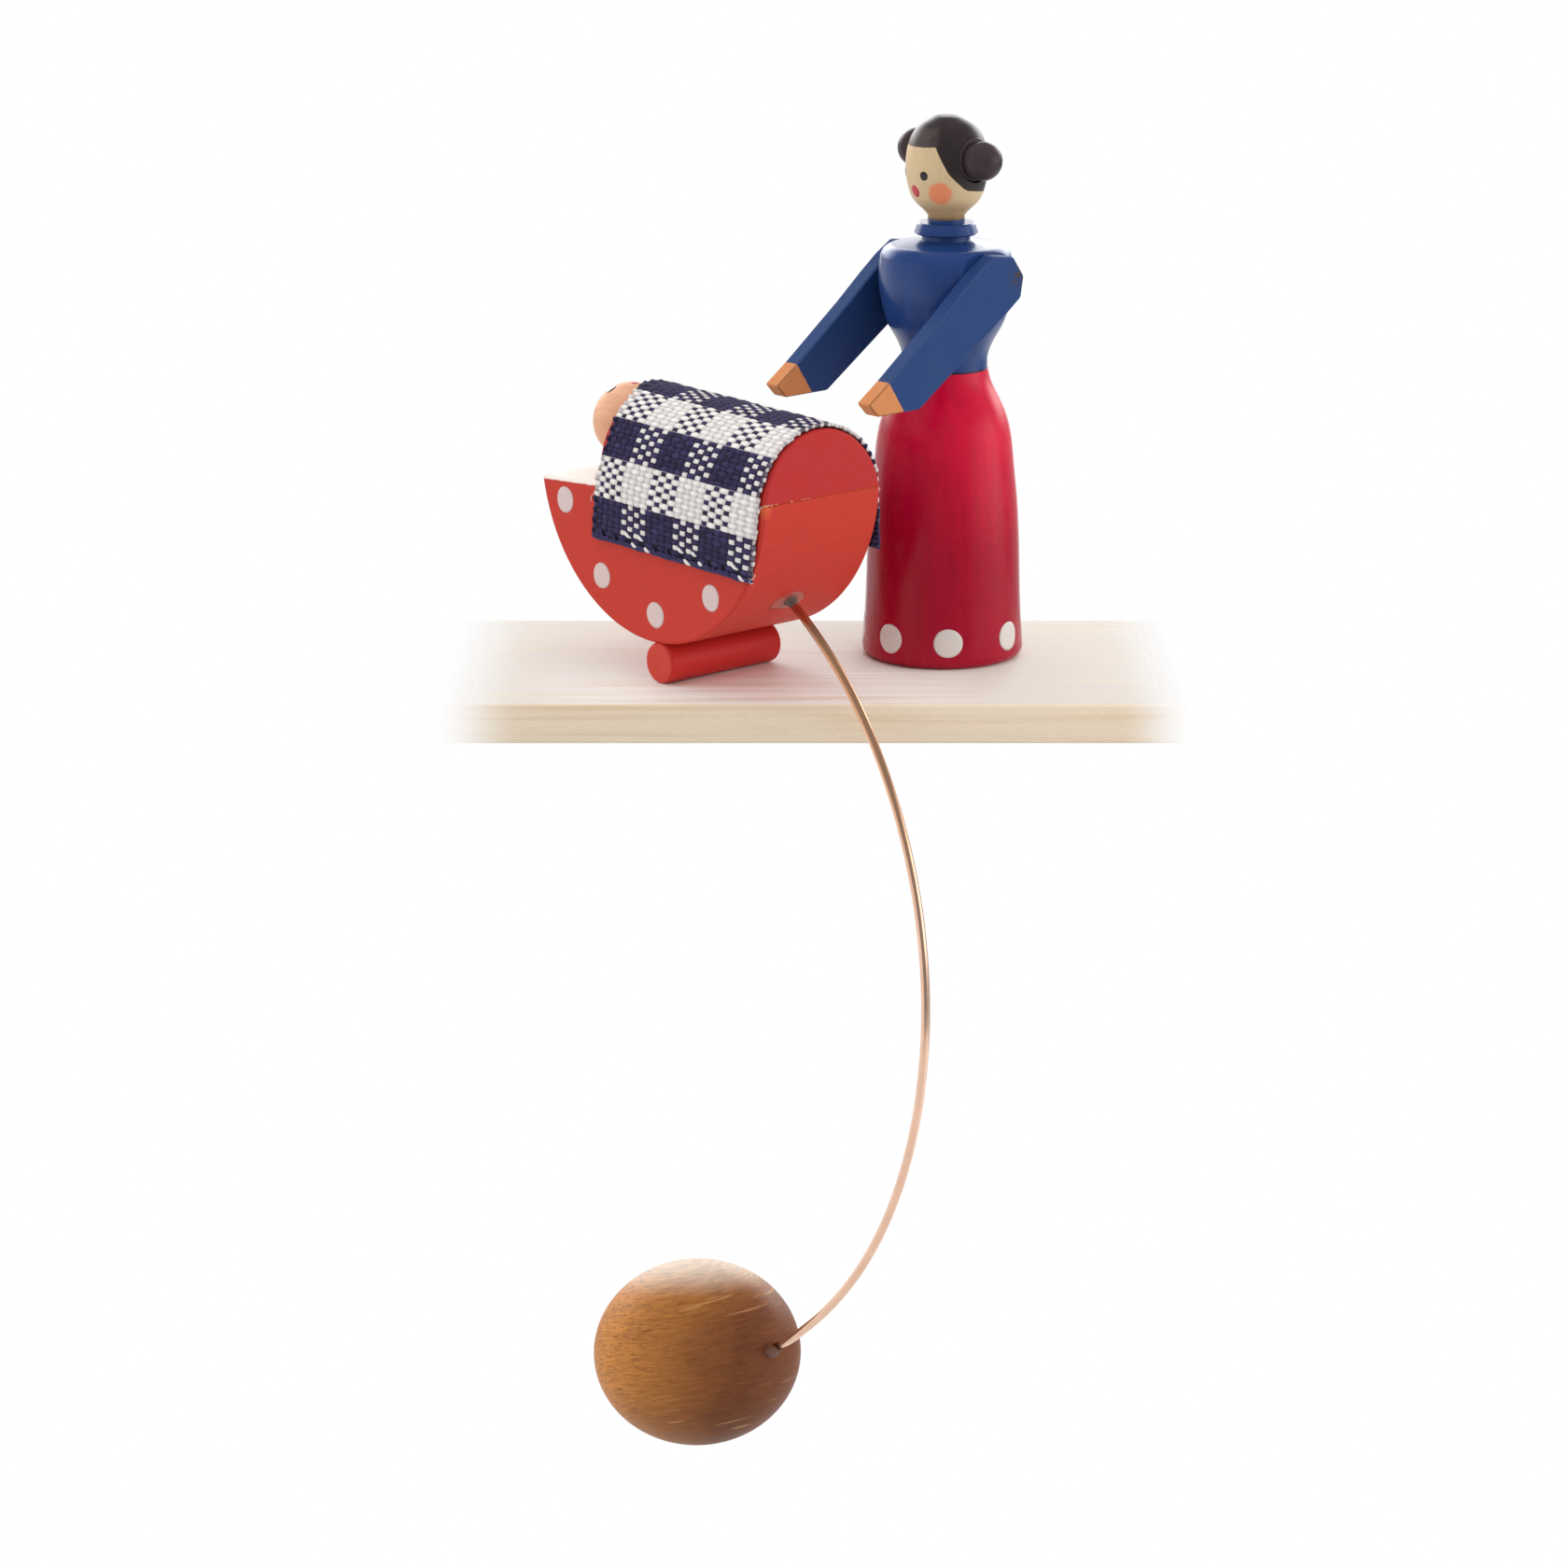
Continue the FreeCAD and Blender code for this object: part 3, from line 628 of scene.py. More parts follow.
        # Front and low on the hair, the paint is mixed toward a lighter grey brown: a lighter fringe that
        # is partly a painted sheen.
        front = f.span(f.sway(turn, 0.3, 0.9, 2.0), math.radians(50), math.radians(28), smooth=True)
        low = f.span(f.sway(over, 0.3, 0.9, 2.0), 2.8, 1.2, smooth=True)
        f.coat(painted, f.mix(f.times(front, low, 0.42), hair, paint(112, 98, 98)))
        f.set(Roughness=f.span(painted, 0.0, 1.0, 0.42, 0.32),
              Specular_IOR_Level=f.span(painted, 0.0, 1.0, 0.4, 0.24))
        f.bump(fibre, 0.01)
        f.bump(f.noise(2.5), 0.012)
        f.bump(painted, 0.06)
        f.put_on("head")

    def arms(self, paints):
        """Blue sleeve to a slanting wrist line, then the hand, with a worn patch on one shoulder, a painted
        highlight on the sleeve's eased edges and pencilled edges on the hand.

        The eased edges are found by their own faces, which lean between the slat's
        side and its outline.
        """
        axes = ((0, -0.77, -0.64), (1, 0, 0), (0, 0.64, -0.77))
        f = sawn_paint("sleeve paint", paints.sleeve, axes, roughness=0.55)
        f.tone(f.noise(5.0, 3.0, 0.7), 0.88, 1.14)
        normal = f.node("ShaderNodeNewGeometry", {}, "True Normal")
        side = f.math("ABSOLUTE", f.vector("DOT_PRODUCT", normal, (1, 0, 0)))
        eased = f.times(f.span(side, 0.2, 0.3), f.span(side, 0.97, 0.9))
        # Painted highlight: the sleeve's eased edges are painted lighter, for the light they catch.
        f.coat(f.times(eased, 0.14), paint(104, 124, 158))
        worn = f.span(f.far(self.WORN_SHOULDER), 0.6, 2.2, 1.0, 0.0)
        f.coat(f.times(worn, f.span(f.noise(1.8), 0.46, 0.58)), paint(74, 58, 54))
        hand = f.shade(paints.hand, f.grain((5.0, 1.2, 1.2)), 0.9, 1.1)
        hand = f.mix(f.times(eased, 0.55), hand, paint(132, 92, 66))
        past_wrist = f.along((0, -3.1, -2.0), self.WRIST)
        f.coat(f.span(f.sway(past_wrist, 0.08, 1.5), -0.03, 0.05), hand)
        f.put_on("arm_left", "arm_right")


class TOY_OT_cradle(bpy.types.Operator):
    """Paint the cradle, its foot, the bedding and the baby, and finish the wire and the weight."""

    bl_idname = "toy.cradle"
    bl_label = "Paint Cradle"

    # A point just outside the wire's hole in the block, in the level cradle's axes
    HOLE_FRONT = (14.0, 0.0, 6.5)
    # The heights between which the wire turns redder, a painted reflection of the red cradle
    REDDER = (-24.0, 4.0)

    def execute(self, context):
        paints = context.scene.toy_paints
        self.block(paints)
        self.foot(paints)
        bed = sawn_paint("bedding paint", paints.bed, (ALONG, ACROSS, ABOVE), roughness=0.5)
        bed.put_on("swaddled_body")
        baby = turned_paint("baby paint", paints.flesh, roughness=0.5, gleam=0.25, rings=0.012,
                            mottle=0.05, axes=(ACROSS, ABOVE, ALONG))
        baby.put_on("baby_head")
        self.wire(paints)
        self.weight(paints)
        return {"FINISHED"}

    def block(self, paints):
        """Orange red with a white top, which runs over the eased edge of the near side."""
        f = sawn_paint("cradle paint", paints.side, (ACROSS, ALONG, ABOVE), roughness=0.5,
                       contrast=0.14, fineness=2.4)
        height = f.sway(f.along(ABOVE, AXIS_POINT), 0.1, 1.2)
        reach = f.along(ALONG, AXIS_POINT)
        corner = f.far(to_world(np.array([DECK_END, -CRADLE_HALF_WIDTH, DECK])), f.wobble(1.0, 0.9))
        # Lighter orange along the top edge and round the near top corner at the wire's end.
        paler_edge = f.math("MAXIMUM", f.span(height, DECK - 0.3, DECK - 0.02, 0.0, 0.75),
                        f.span(corner, 1.7, 0.5, 0.0, 0.85))
        f.coat(f.times(paler_edge, f.span(reach, DECK_END - 1.2, DECK_END - 0.5)), paint(226, 104, 62))
        lap = f.span(reach, DECK_END - 0.6, DECK_END - 0.2, 0.38, -0.2)
        f.coat(f.span(f.plus(height, lap), DECK - 0.04, DECK + 0.04), paints.deck)
        f.put_on("cradle_block")

    def foot(self, paints):
        """Red dowel, its sawn end faces painted paler and more orange than its side, a painted highlight of
        the light on its ends.
        """
        f = sawn_paint("foot paint", paints.foot, (ACROSS, ALONG, ABOVE), roughness=0.42)
        low, high = cad_box("rocker_foot")
        half = (high[1] - low[1]) / 2
        # Painted highlight: the end faces are painted paler and more orange, for the light that falls on
        # them.
        end = f.span(f.math("ABSOLUTE", f.along(ACROSS, (low + high) / 2)), half - 0.12, half - 0.02)
        f.coat(end, f.shade(paint(206, 68, 56), f.noise(1.2, 4.0), 0.9, 1.08))
        f.put_on("rocker_foot")

    def wire(self, paints):
        """Drawn copper-coloured wire, redder above in a painted reflection of the red cradle, darker near
        the cradle's hole in painted shade and reflection of the cradle, and dull brown at the glue in the
        weight's mouth.
        """
        f = Finish("copper wire", paints.copper, Metallic=0.92, Roughness=0.12)
        # Painted reflection: the wire is painted redder above, near the red cradle.
        f.coat(f.span(f.along(UP), *self.REDDER), paint(244, 184, 142))
        f.tone(f.noise(0.5, 3.0, 0.6), 0.85, 1.1)
        hole = to_world(np.array(self.HOLE_FRONT))
        # Painted shade and reflection: the wire is painted darker reddish brown close to the red cradle's
        # hole.
        f.coat(f.span(f.far(hole), 1.0, 7.0, 0.7, 0.0), paint(150, 98, 66))
        f.coat(f.span(f.far(WEIGHT_MOUTH), 2.0, 2.4, 0.9, 0.0), paint(104, 62, 42))
        f.put_on("pendulum_wire")

    def weight(self, paints):
        """Stained straight-grained hardwood: light and dark zones, fibres and short dark pores.

        They are noise that varies fast across the layers of the wood and slowly
        along the turning axis. Pale lines show above and below its middle, and its
        top is painted pale, a painted highlight of the light from above and behind.
        """
        lengthways = (math.cos(WEIGHT_SLOPE), 0, math.sin(WEIGHT_SLOPE))
        upwards = (-math.sin(WEIGHT_SLOPE), 0, math.cos(WEIGHT_SLOPE))
        centre = np.mean(cad_box("pendulum_weight"), axis=0)
        f = Finish("stained hardwood", paints.weight_light, Specular_IOR_Level=0.16)
        grain = functools.partial(f.grain, axes=(lengthways, ACROSS, upwards), origin=centre)
        fibre = grain((0.2, 0.45, 4.5), 4.0, 0.7, distortion=0.3)
        pores = grain((0.7, 1.4, 8.0), 2.0, 0.5)
        rings = grain((4.0, 0.25, 0.25))
        lines = grain((0.09, 0.14, 2.6), 1.0, 0.4, distortion=0.2)
        figure = grain((0.084, 0.14, 0.14), 3.0, 0.5, distortion=0.6)
        shift = f.span(f.along((0.89, 0.35, -0.29), centre), -7.0, 8.0)
        zone = f.plus(f.times(shift, 0.75), f.times(figure, 0.35))
        f.coat(f.span(zone, 0.15, 0.9), paints.weight_dark)
        f.tone(fibre, 0.4, 1.6)
        f.tone(rings, 0.88, 1.12)
        dark = f.times(f.span(pores, 0.55, 0.62), f.span(shift, 0.2, 0.7, 1.0, 0.4))
        f.coat(f.times(dark, 0.5), paint(112, 58, 20))
        off_middle = f.span(f.math("ABSOLUTE", f.along(upwards, centre)), 3.0, 5.5, 0.0, 0.5)
        pale = f.times(f.span(lines, 0.64, 0.72), off_middle, f.span(shift, 0.4, 0.6))
        f.coat(pale, paint(226, 176, 124))
        # Painted highlight: the top is painted pale, for the bright light from above and behind.
        pale_top_highlight = f.span(f.along((-0.25, 0.1, 1.0), centre), 7.2, 10.8, 0.0, 0.8, smooth=True)
        f.coat(pale_top_highlight, f.shade(paint(246, 228, 210), fibre, 0.4, 1.6))
        f.set(Roughness=f.span(fibre, 0.3, 0.7, 0.42, 0.55))
        f.bump(f.math("SUBTRACT", 1.0, dark), 0.02)
        f.bump(fibre, 0.02)
        f.put_on("pendulum_weight")


class TOY_OT_dots(bpy.types.Operator):
    """Dab the white dots round the skirt's hem and on the cradle's two sides."""

    bl_idname = "toy.dots"
    bl_label = "Dab Dots"

    # Round the hem: turns from the figure's front
    HEM_RADIUS, HEM_HEIGHT, HEM_DOT = 8.8, 3.05, 1.62
    HEM_TURNS = (-41.4, 5.6, 50.9, 102.9, 147.0, 191.0, 234.0, 277.0)
    # On the cradle's sides: turns from straight down, each with its slip along and upwards
    SIDE_RING, SIDE_DOT = 15.7, 1.42
    SIDE_TURNS = ((-72, 0.1, 0.37), (-36, 0.15, 0.34), (0, -0.15, -0.05), (36, 0.07, -0.12))

    def execute(self, context):
        paints = context.scene.toy_paints
        white = gloss_paint("white dot paint", paints.dot_white, 0.4, 0.04)
        pink = gloss_paint("pink white dot paint", paints.dot_pink, 0.5, 0.08)
        skirt = turned_surface("skirt", 0.5, 8.0, 5.0)
        size = (self.HEM_DOT / self.HEM_RADIUS, self.HEM_DOT)
        parts = [lens_patch(skirt, (turn, self.HEM_HEIGHT), size, 0.05, 0.012, seed=k)
                 for k, turn in enumerate(np.radians(self.HEM_TURNS))]
        make_piece("skirt_dots", *join(parts), white, "figure", "skirt_paint")
        parts = []
        size = (self.SIDE_DOT, 1.04 * self.SIDE_DOT)
        for surface in (side_surface(-1), side_surface(1)):
            for k, (degrees, ahead, above) in enumerate(self.SIDE_TURNS):
                turn = math.radians(degrees)
                spot = (self.SIDE_RING * math.sin(turn) + ahead,
                        RIM_CENTRE - self.SIDE_RING * math.cos(turn) + above)
                parts.append(lens_patch(surface, spot, size, 0.05, 0.02, seed=10 + k))
        make_piece("cradle_dots", *join(parts), pink, "cradle", "cradle_paint")
        return {"FINISHED"}


class TOY_OT_faces(bpy.types.Operator):
    """Dab the eyes and the mouths of the mother and the baby."""

    bl_idname = "toy.faces"
    bl_label = "Dab Faces"

    # The mother's eyes and mouth: turn from the middle of the face, height over the collar
    EYE_TURNS, EYE_HEIGHT, EYE_SIZE = (-31.5, 23.6), 5.47, (0.5 / 4.4, 0.49)
    MOUTH_TURN, MOUTH_HEIGHT, MOUTH_SIZE = 0.035, 3.64, (0.72 / 4.2, 0.66)
    # The baby's eyes and mouth, by the directions they face
    BABY_EYES, BABY_EYE_SIZE = ((-0.25, -0.47, 0.85), (-0.25, 0.53, 0.81)), (0.62, 0.7)
    BABY_MOUTH, BABY_MOUTH_SIZE = (0.11, 0.04, 0.99), (0.36, 0.62)

    def execute(self, context):
        black = gloss_paint("eye paint", paint(26, 24, 28), 0.18, 0.1)
        red = gloss_paint("mouth paint", context.scene.toy_paints.lip, 0.3, 0.08)
        head = turned_surface("head", COLLAR_TOP + 1.5, COLLAR_TOP + 11, 2.2)
        eyes = [lens_patch(head, (FACE_TURN + turn, COLLAR_TOP + self.EYE_HEIGHT), self.EYE_SIZE, 0.05)
                for turn in np.radians(self.EYE_TURNS)]
        make_piece("mother_eyes", *join(eyes), black, "figure", "head_wood")
        spot = (FACE_TURN + self.MOUTH_TURN, COLLAR_TOP + self.MOUTH_HEIGHT)
        mouth = lens_patch(head, spot, self.MOUTH_SIZE, 0.04, 0.03)
        make_piece("mother_mouth", *mouth, red, "figure", "head_wood")
        low, high = cad_box("baby_head")
        radius = (high[2] - low[2]) / 2
        centre = np.array([low[0] + radius, (low[1] + high[1]) / 2, (low[2] + high[2]) / 2])
        eyes = [lens_patch(ball_surface(centre, radius, facing), (0.0, 0.0), self.BABY_EYE_SIZE, 0.06)
                for facing in self.BABY_EYES]
        make_piece("baby_eyes", *join(eyes), black, "cradle", "baby_paint")
        lips = ball_surface(centre, radius, self.BABY_MOUTH)
        mouth = lens_patch(lips, (0.0, 0.0), self.BABY_MOUTH_SIZE, 0.05, 0.03)
        make_piece("baby_mouth", *mouth, red, "cradle", "baby_paint")
        return {"FINISHED"}


class TOY_OT_blanket(bpy.types.Operator):
    """Weave the gingham blanket over the bed, with cut edges and loose threads."""

    bl_idname = "toy.blanket"
    bl_label = "Weave Blanket"

    FIRST_RUN = -27.72
    FIRST_GIRTH = -7.05
    WARP_SAMPLES = (0.0, 0.14, 0.36, 0.64, 0.86)
    WEFT_SAMPLES = (0.0, 0.2, 0.5, 0.8)
    WARP_HALF, WEFT_HALF = 0.4, 0.52
    CLOTH_HALF = 0.29
    SELVAGE = 0.22
    WARP_SWING, WARP_RADIUS = 0.05, 0.14
    WEFT_SWING, WEFT_RADIUS = 0.09, 0.16
    # Cut edges at the baby's and the wire's end: girth, run
    HEAD_EDGE = ((-7.1, -27.85), (-4.3, -27.5), (-0.6, -27.5), (1.05, -26.9), (3.6, -26.4), (5.1, -26.6),
                 (7.5, -27.2), (9.9, -27.4), (13.3, -28.9), (18.0, -28.8), (33.0, -28.3))
    WIRE_EDGE = ((-6.8, -1.32), (-3.5, -1.06), (1.4, -0.65), (5.0, -0.8), (33.0, -0.9))
    EDGE_REACH = 2.2
    # Rows past which the last warp is navy, and up to which the cut edge at the wire's end is greyed
    NAVY_EDGE, PALE_EDGE = 56.0, 50.0
    # Run of the two yarns along the near hem
    HEM_YARNS = (-27.6, -1.1)
    # A cut end's slip along the hem, its length below the hem and the length above it
    END_LIMITS = ((0.2, 0.7), (0.0, 0.2), (0.5, 1.1))
    # Wisps at the corners: three (run, girth) points of a bow each
    WISPS = (((-1.2, -6.8), (-0.5, -6.7), (-0.2, -6.0)),
             ((-1.3, -7.0), (-0.9, -7.25), (-0.5, -7.0)),
             ((-27.6, -2.4), (-27.95, -2.8), (-27.6, -3.2)))

    def execute(self, context):
        cloth = context.scene.toy_cloth
        random = np.random.default_rng(5)
        q = (np.arange(cloth.warps)[:, None] + self.WARP_SAMPLES).ravel()
        q = np.concatenate([[-self.SELVAGE], q, [cloth.warps, cloth.warps + self.SELVAGE]])
        p = np.append((np.arange(cloth.wefts)[:, None] + self.WEFT_SAMPLES).ravel(), cloth.wefts)
        q, p = np.meshgrid(q, p, indexing="ij")
        top, under = self.relief(q, p)
        run, girth = self.lay(cloth, q, p)
        row = np.clip(np.floor(p[0]).astype(int), 0, cloth.wefts - 1)
        column = np.clip(np.floor(q[:, 0]).astype(int), 0, cloth.warps - 1)
        for end in (0, -1):
            run[end] += random.uniform(-0.16, 0.16, cloth.wefts)[row]
        for hem in (0, -1):
            girth[:, hem] += random.uniform(-0.12, 0.1, cloth.warps)[column]
        sides = [self.point(cloth, run, girth, lift).reshape(-1, 3) for lift in (top, under)]
        rows, columns = q.shape
        count = rows * columns
        upper = grid_quads(rows, columns)
        border = np.concatenate([
            np.arange(columns), np.arange(1, rows) * columns + columns - 1,
            (rows - 1) * columns + np.arange(columns - 2, -1, -1), np.arange(rows - 2, 0, -1) * columns])
        following = np.roll(border, -1)
        rim = np.stack([following, border, border + count, following + count], -1)
        faces = [upper[:, ::-1], upper + count, rim[:, ::-1]]
        pair = np.stack([q, p], -1).reshape(-1, 2)
        relief = np.concatenate([top.ravel(), -under.ravel()])
        blanket = make_piece(
            "gingham_blanket", np.concatenate(sides), faces, self.material(cloth),
            "cradle", "gingham_cloth", np.tile(pair, (2, 1)), relief)
        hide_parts("blanket")
        threads = self.threads(cloth, random)
        return {"FINISHED"}

    def point(self, cloth, run, girth, lift):
        """World place of a point of the blanket.

        run goes along the bed's sloping axis from its foot end, girth round it from
        the near spring line, measured on the cloth's outside. On the arch the point is
        at radius R + lift and angle girth / R; past the arch it goes straight down by
        the rest of the girth, and the legs stand off a little more towards the hems.
        """
        radius = cloth.middle_radius / MM
        reach = radius + self.CLOTH_HALF
        arch = np.clip(girth, 0, math.pi * reach)
        leg = np.abs(girth - arch)
        turn = arch / reach
        out = radius + 0.22 * ease(leg / 7) + 0.03 * (1 + np.sin(0.55 * run + 0.3 * girth)) + lift
        slope = math.atan2(BED_RISE, BED_LENGTH)
        axis = np.array([math.cos(slope), 0, -math.sin(slope)])
        rise = np.array([math.sin(slope), 0, math.cos(slope)])
        start = np.array([DECK_END, 0, DECK - BED_AXIS_DROP])
        level = start + run[..., None] * axis + (out * np.sin(turn) - leg)[..., None] * rise
        level[..., 1] -= out * np.cos(turn)
        return to_world(level)

    def lay(self, cloth, q, p):
        """Run and girth of the yarn counts q and p.

        run = first + pitch q, then the warps lean and wander, and each cut edge
        e(girth) pulls its yarns along by (e - nominal) exp(-distance / reach).
        """
        pitch = cloth.warp_pitch / MM
        first = self.FIRST_RUN - self.SELVAGE * pitch
        last = self.FIRST_RUN + (cloth.warps + self.SELVAGE) * pitch
        girth = self.FIRST_GIRTH + cloth.weft_pitch / MM * p
        run = self.FIRST_RUN + pitch * q
        near_head = np.exp(-np.maximum(run - first, 0) / self.EDGE_REACH)
        near_wire = np.exp(-np.maximum(last - run, 0) / self.EDGE_REACH)
        head_edge = np.interp(girth, *np.array(self.HEAD_EDGE).T)
        wire_edge = np.interp(girth, *np.array(self.WIRE_EDGE).T)
        lean = -0.95 * ease((3.5 - girth) / 6.0) + 0.08 * np.sin(0.9 * girth + 0.35 * run)
        moved = lean * (1 - near_head) * (1 - near_wire)
        moved = moved + (head_edge - first) * near_head + (wire_edge - last) * near_wire
        sag = (0.22 - 0.005 * (run - first)) * ease((3 - girth) / 10)
        return run + moved, girth - sag

    def relief(self, q, p):
        """Heights of the cloth's top and underside over its middle, for a plain weave.

        A warp's centre line is -W (-1)^i cos(pi (p - 1/2)) and a weft's is
        F (-1)^j cos(pi (q - 1/2)); each is thickened by a half ellipse across the
        yarn. The top is the higher of the two, and the underside the lower. The first
        column and the two lowest rows show the weft only.
        """
        i, j = np.floor(q), np.floor(p)
        warp_sign, weft_sign = [np.where(number % 2 == 0, 1.0, -1.0) for number in (i, j)]
        warp_line = -self.WARP_SWING * warp_sign * np.cos(math.pi * (p - 0.5))
        weft_line = self.WEFT_SWING * weft_sign * np.cos(math.pi * (q - 0.5))
        warp_round = 1 - ((q - i - 0.5) / self.WARP_HALF) ** 2
        weft_round = 1 - ((p - j - 0.5) / self.WEFT_HALF) ** 2
        warp_up = self.WARP_RADIUS * np.sqrt(np.clip(warp_round, 0, 1))
        weft_up = self.WEFT_RADIUS * np.sqrt(np.clip(weft_round, 0, 1))
        bare = np.where((warp_round > 0) & (i > 0) & (j > 1), 0.0, 1.0)
        top = np.maximum(warp_line + warp_up - bare, weft_line + weft_up)
        under = np.minimum(warp_line - warp_up + bare, weft_line - weft_up)
        return top, under

    def material(self, cloth):
        """Yarn colours from the UV map, which counts warps and wefts.

        A warp shows where (column + row) is odd, inside its own width; the rest is
        weft. Columns change colour every four yarns and rows every eight. The last
        warp is navy down the far side, which also darkens it there, partly painted shade.
        Low places of the relief are painted darker, a painted shade in the hollows of the weave.
        """
        f = Finish("gingham cloth", cloth.white, Roughness=0.8, Specular_IOR_Level=0.25, Sheen_Weight=0.04)
        pair = f.node("ShaderNodeUVMap", {}, uv_map="UVMap")
        q, p = [f.node("ShaderNodeSeparateXYZ", {0: pair}, part) for part in (0, 1)]
        column, row = f.math("FLOOR", q), f.math("FLOOR", p)
        across, down = [f.math("ABSOLUTE", f.math("SUBTRACT", f.math("FRACT", part), 0.5))
                        for part in (q, p)]
        odd = f.math("FLOORED_MODULO", f.plus(column, row), 2.0)
        shown = f.times(f.span(f.sway(across, 0.04, 9.0, 2.0), 0.4, 0.34),
                        f.span(f.sway(down, 0.04, 9.0, 2.0), 0.47, 0.4),
                        odd, f.math("GREATER_THAN", q, 1.0), f.math("GREATER_THAN", p, 2.0))
        # The last warp is navy down the far side; it also darkens the far leg, partly painted shade.
        last_warp = f.math("GREATER_THAN", q, cloth.warps - 1.0)
        far_edge = f.times(last_warp, f.math("GREATER_THAN", p, self.NAVY_EDGE))
        warp_navy = f.math("GREATER_THAN", f.math("FLOORED_MODULO", f.plus(column, 3.0), 8.0), 3.5)
        warp_navy = f.math("MAXIMUM", warp_navy, far_edge)
        weft_navy = f.math("LESS_THAN", f.math("FLOORED_MODULO", row, 16.0), 7.5)
        navy = f.node("ShaderNodeMix", {0: shown, 2: weft_navy, 3: warp_navy}, data_type="FLOAT")

        height = f.node("ShaderNodeAttribute", {}, "Fac", attribute_name="relief")
        cell = f.node("ShaderNodeCombineXYZ", {0: column, 1: row})
        each = f.node("ShaderNodeTexWhiteNoise", {"Vector": cell}, "Value")
        hairs = f.noise(16.0, 3.0, 0.7)
        dark = f.shade(f.shade(cloth.navy, hairs, 0.5, 1.5), each, 0.7, 1.25)
        dark = f.shade(dark, f.noise(4.5, 3.0, 0.7), -0.3, 2.3)
        frayed = f.times(far_edge, f.span(f.noise(5.0, 2.0), 0.6, 0.66, 0.0, 0.5))
        dark = f.mix(frayed, dark, paint(186, 180, 200))
        light = f.shade(f.shade(cloth.white, hairs, 0.9, 1.14), each, 0.94, 1.06)
        f.paint(f.mix(navy, light, dark))
        cut = f.span(q, cloth.warps - 0.1, cloth.warps + 0.1, 0.0, 0.3)
        f.coat(f.times(cut, f.math("LESS_THAN", p, self.PALE_EDGE)), paint(206, 190, 192))
        # Painted shade: low places of the relief are painted darker, pinkish grey in the white and near
        # black in the navy.
        f.coat(f.span(height, 0.22, 0.03), f.mix(navy, paint(178, 168, 166), paint(16, 12, 32)))
        twist = f.math("SINE", f.times(f.plus(f.times(q, 5.0), f.times(p, 3.0)), 6.283))
        f.bump(twist, 0.02, 0.6)
        f.bump(hairs, 0.03)
        return f.material

    def threads(self, cloth, random):
        """Loose yarns: two along the near hem, cut ends at both hems, and wisps at the corners."""
        def thread(run, girth, lift, radius, spokes):
            return tube(self.point(cloth, run, girth, lift), radius, spokes)

        dark, pale = [], []
        hem, far_hem = self.FIRST_GIRTH, self.FIRST_GIRTH + cloth.wefts * cloth.weft_pitch / MM
        run = np.linspace(*self.HEM_YARNS, 120)
        for k, drop in enumerate((0.16, -0.1)):
            girth = hem + drop + 0.05 * np.sin(1.1 * run + 2 * k) + 0.03 * np.sin(2.7 * run + k)
            dark.append(thread(run, girth, 0.08 + 0.05 * np.sin(1.9 * run + 1.5 * k), 0.15, 6))
        t = np.linspace(0, 1, 9)
        bow = np.sin(math.pi * t)
        for column in range(1, cloth.warps - 1):
            start = self.FIRST_RUN + cloth.warp_pitch / MM * (column + 0.5)
            is_navy = (column + 3) % 8 > 3
            for side, edge in ((-1, hem), (1, far_hem)):
                slide, down, inside = [random.uniform(*limits) for limits in self.END_LIMITS]
                girth = edge + side * (t * (inside + down) - inside)
                if is_navy or side > 0:
                    dark.append(thread(start + slide * ease(t), girth, 0.16 + 0.08 * bow,
                                       0.11 * (1 - 0.55 * t ** 3), 6))
            if not is_navy:
                over = 1.35 if column % 2 else random.uniform(0.25, 0.6)
                size = random.uniform(0.6, 1.3)
                pale.append(thread(start + size * (t - 0.5), hem + over - 0.35 * size * ease(t),
                                   0.1 + 0.14 * bow, 0.06 + 0.13 * bow ** 0.6, 8))
        u = np.linspace(0, 1, 14)[:, None]
        for first, middle, last in np.array(self.WISPS):
            line = (1 - u) ** 2 * first + 2 * u * (1 - u) * middle + u ** 2 * last
            pale.append(thread(line[:, 0], line[:, 1], 0.25 + 0.2 * u[:, 0], 0.03, 5))
        navy = shaded("navy thread", cloth.navy, 9.0, 0.6, 1.6, 0.85)
        white = shaded("white thread", cloth.white, 9.0, 0.75, 1.1, 0.85)
        return [make_piece("navy_threads", *join(dark), navy, "cradle", "gingham_cloth"),
                make_piece("white_threads", *join(pale), white, "cradle", "gingham_cloth")]


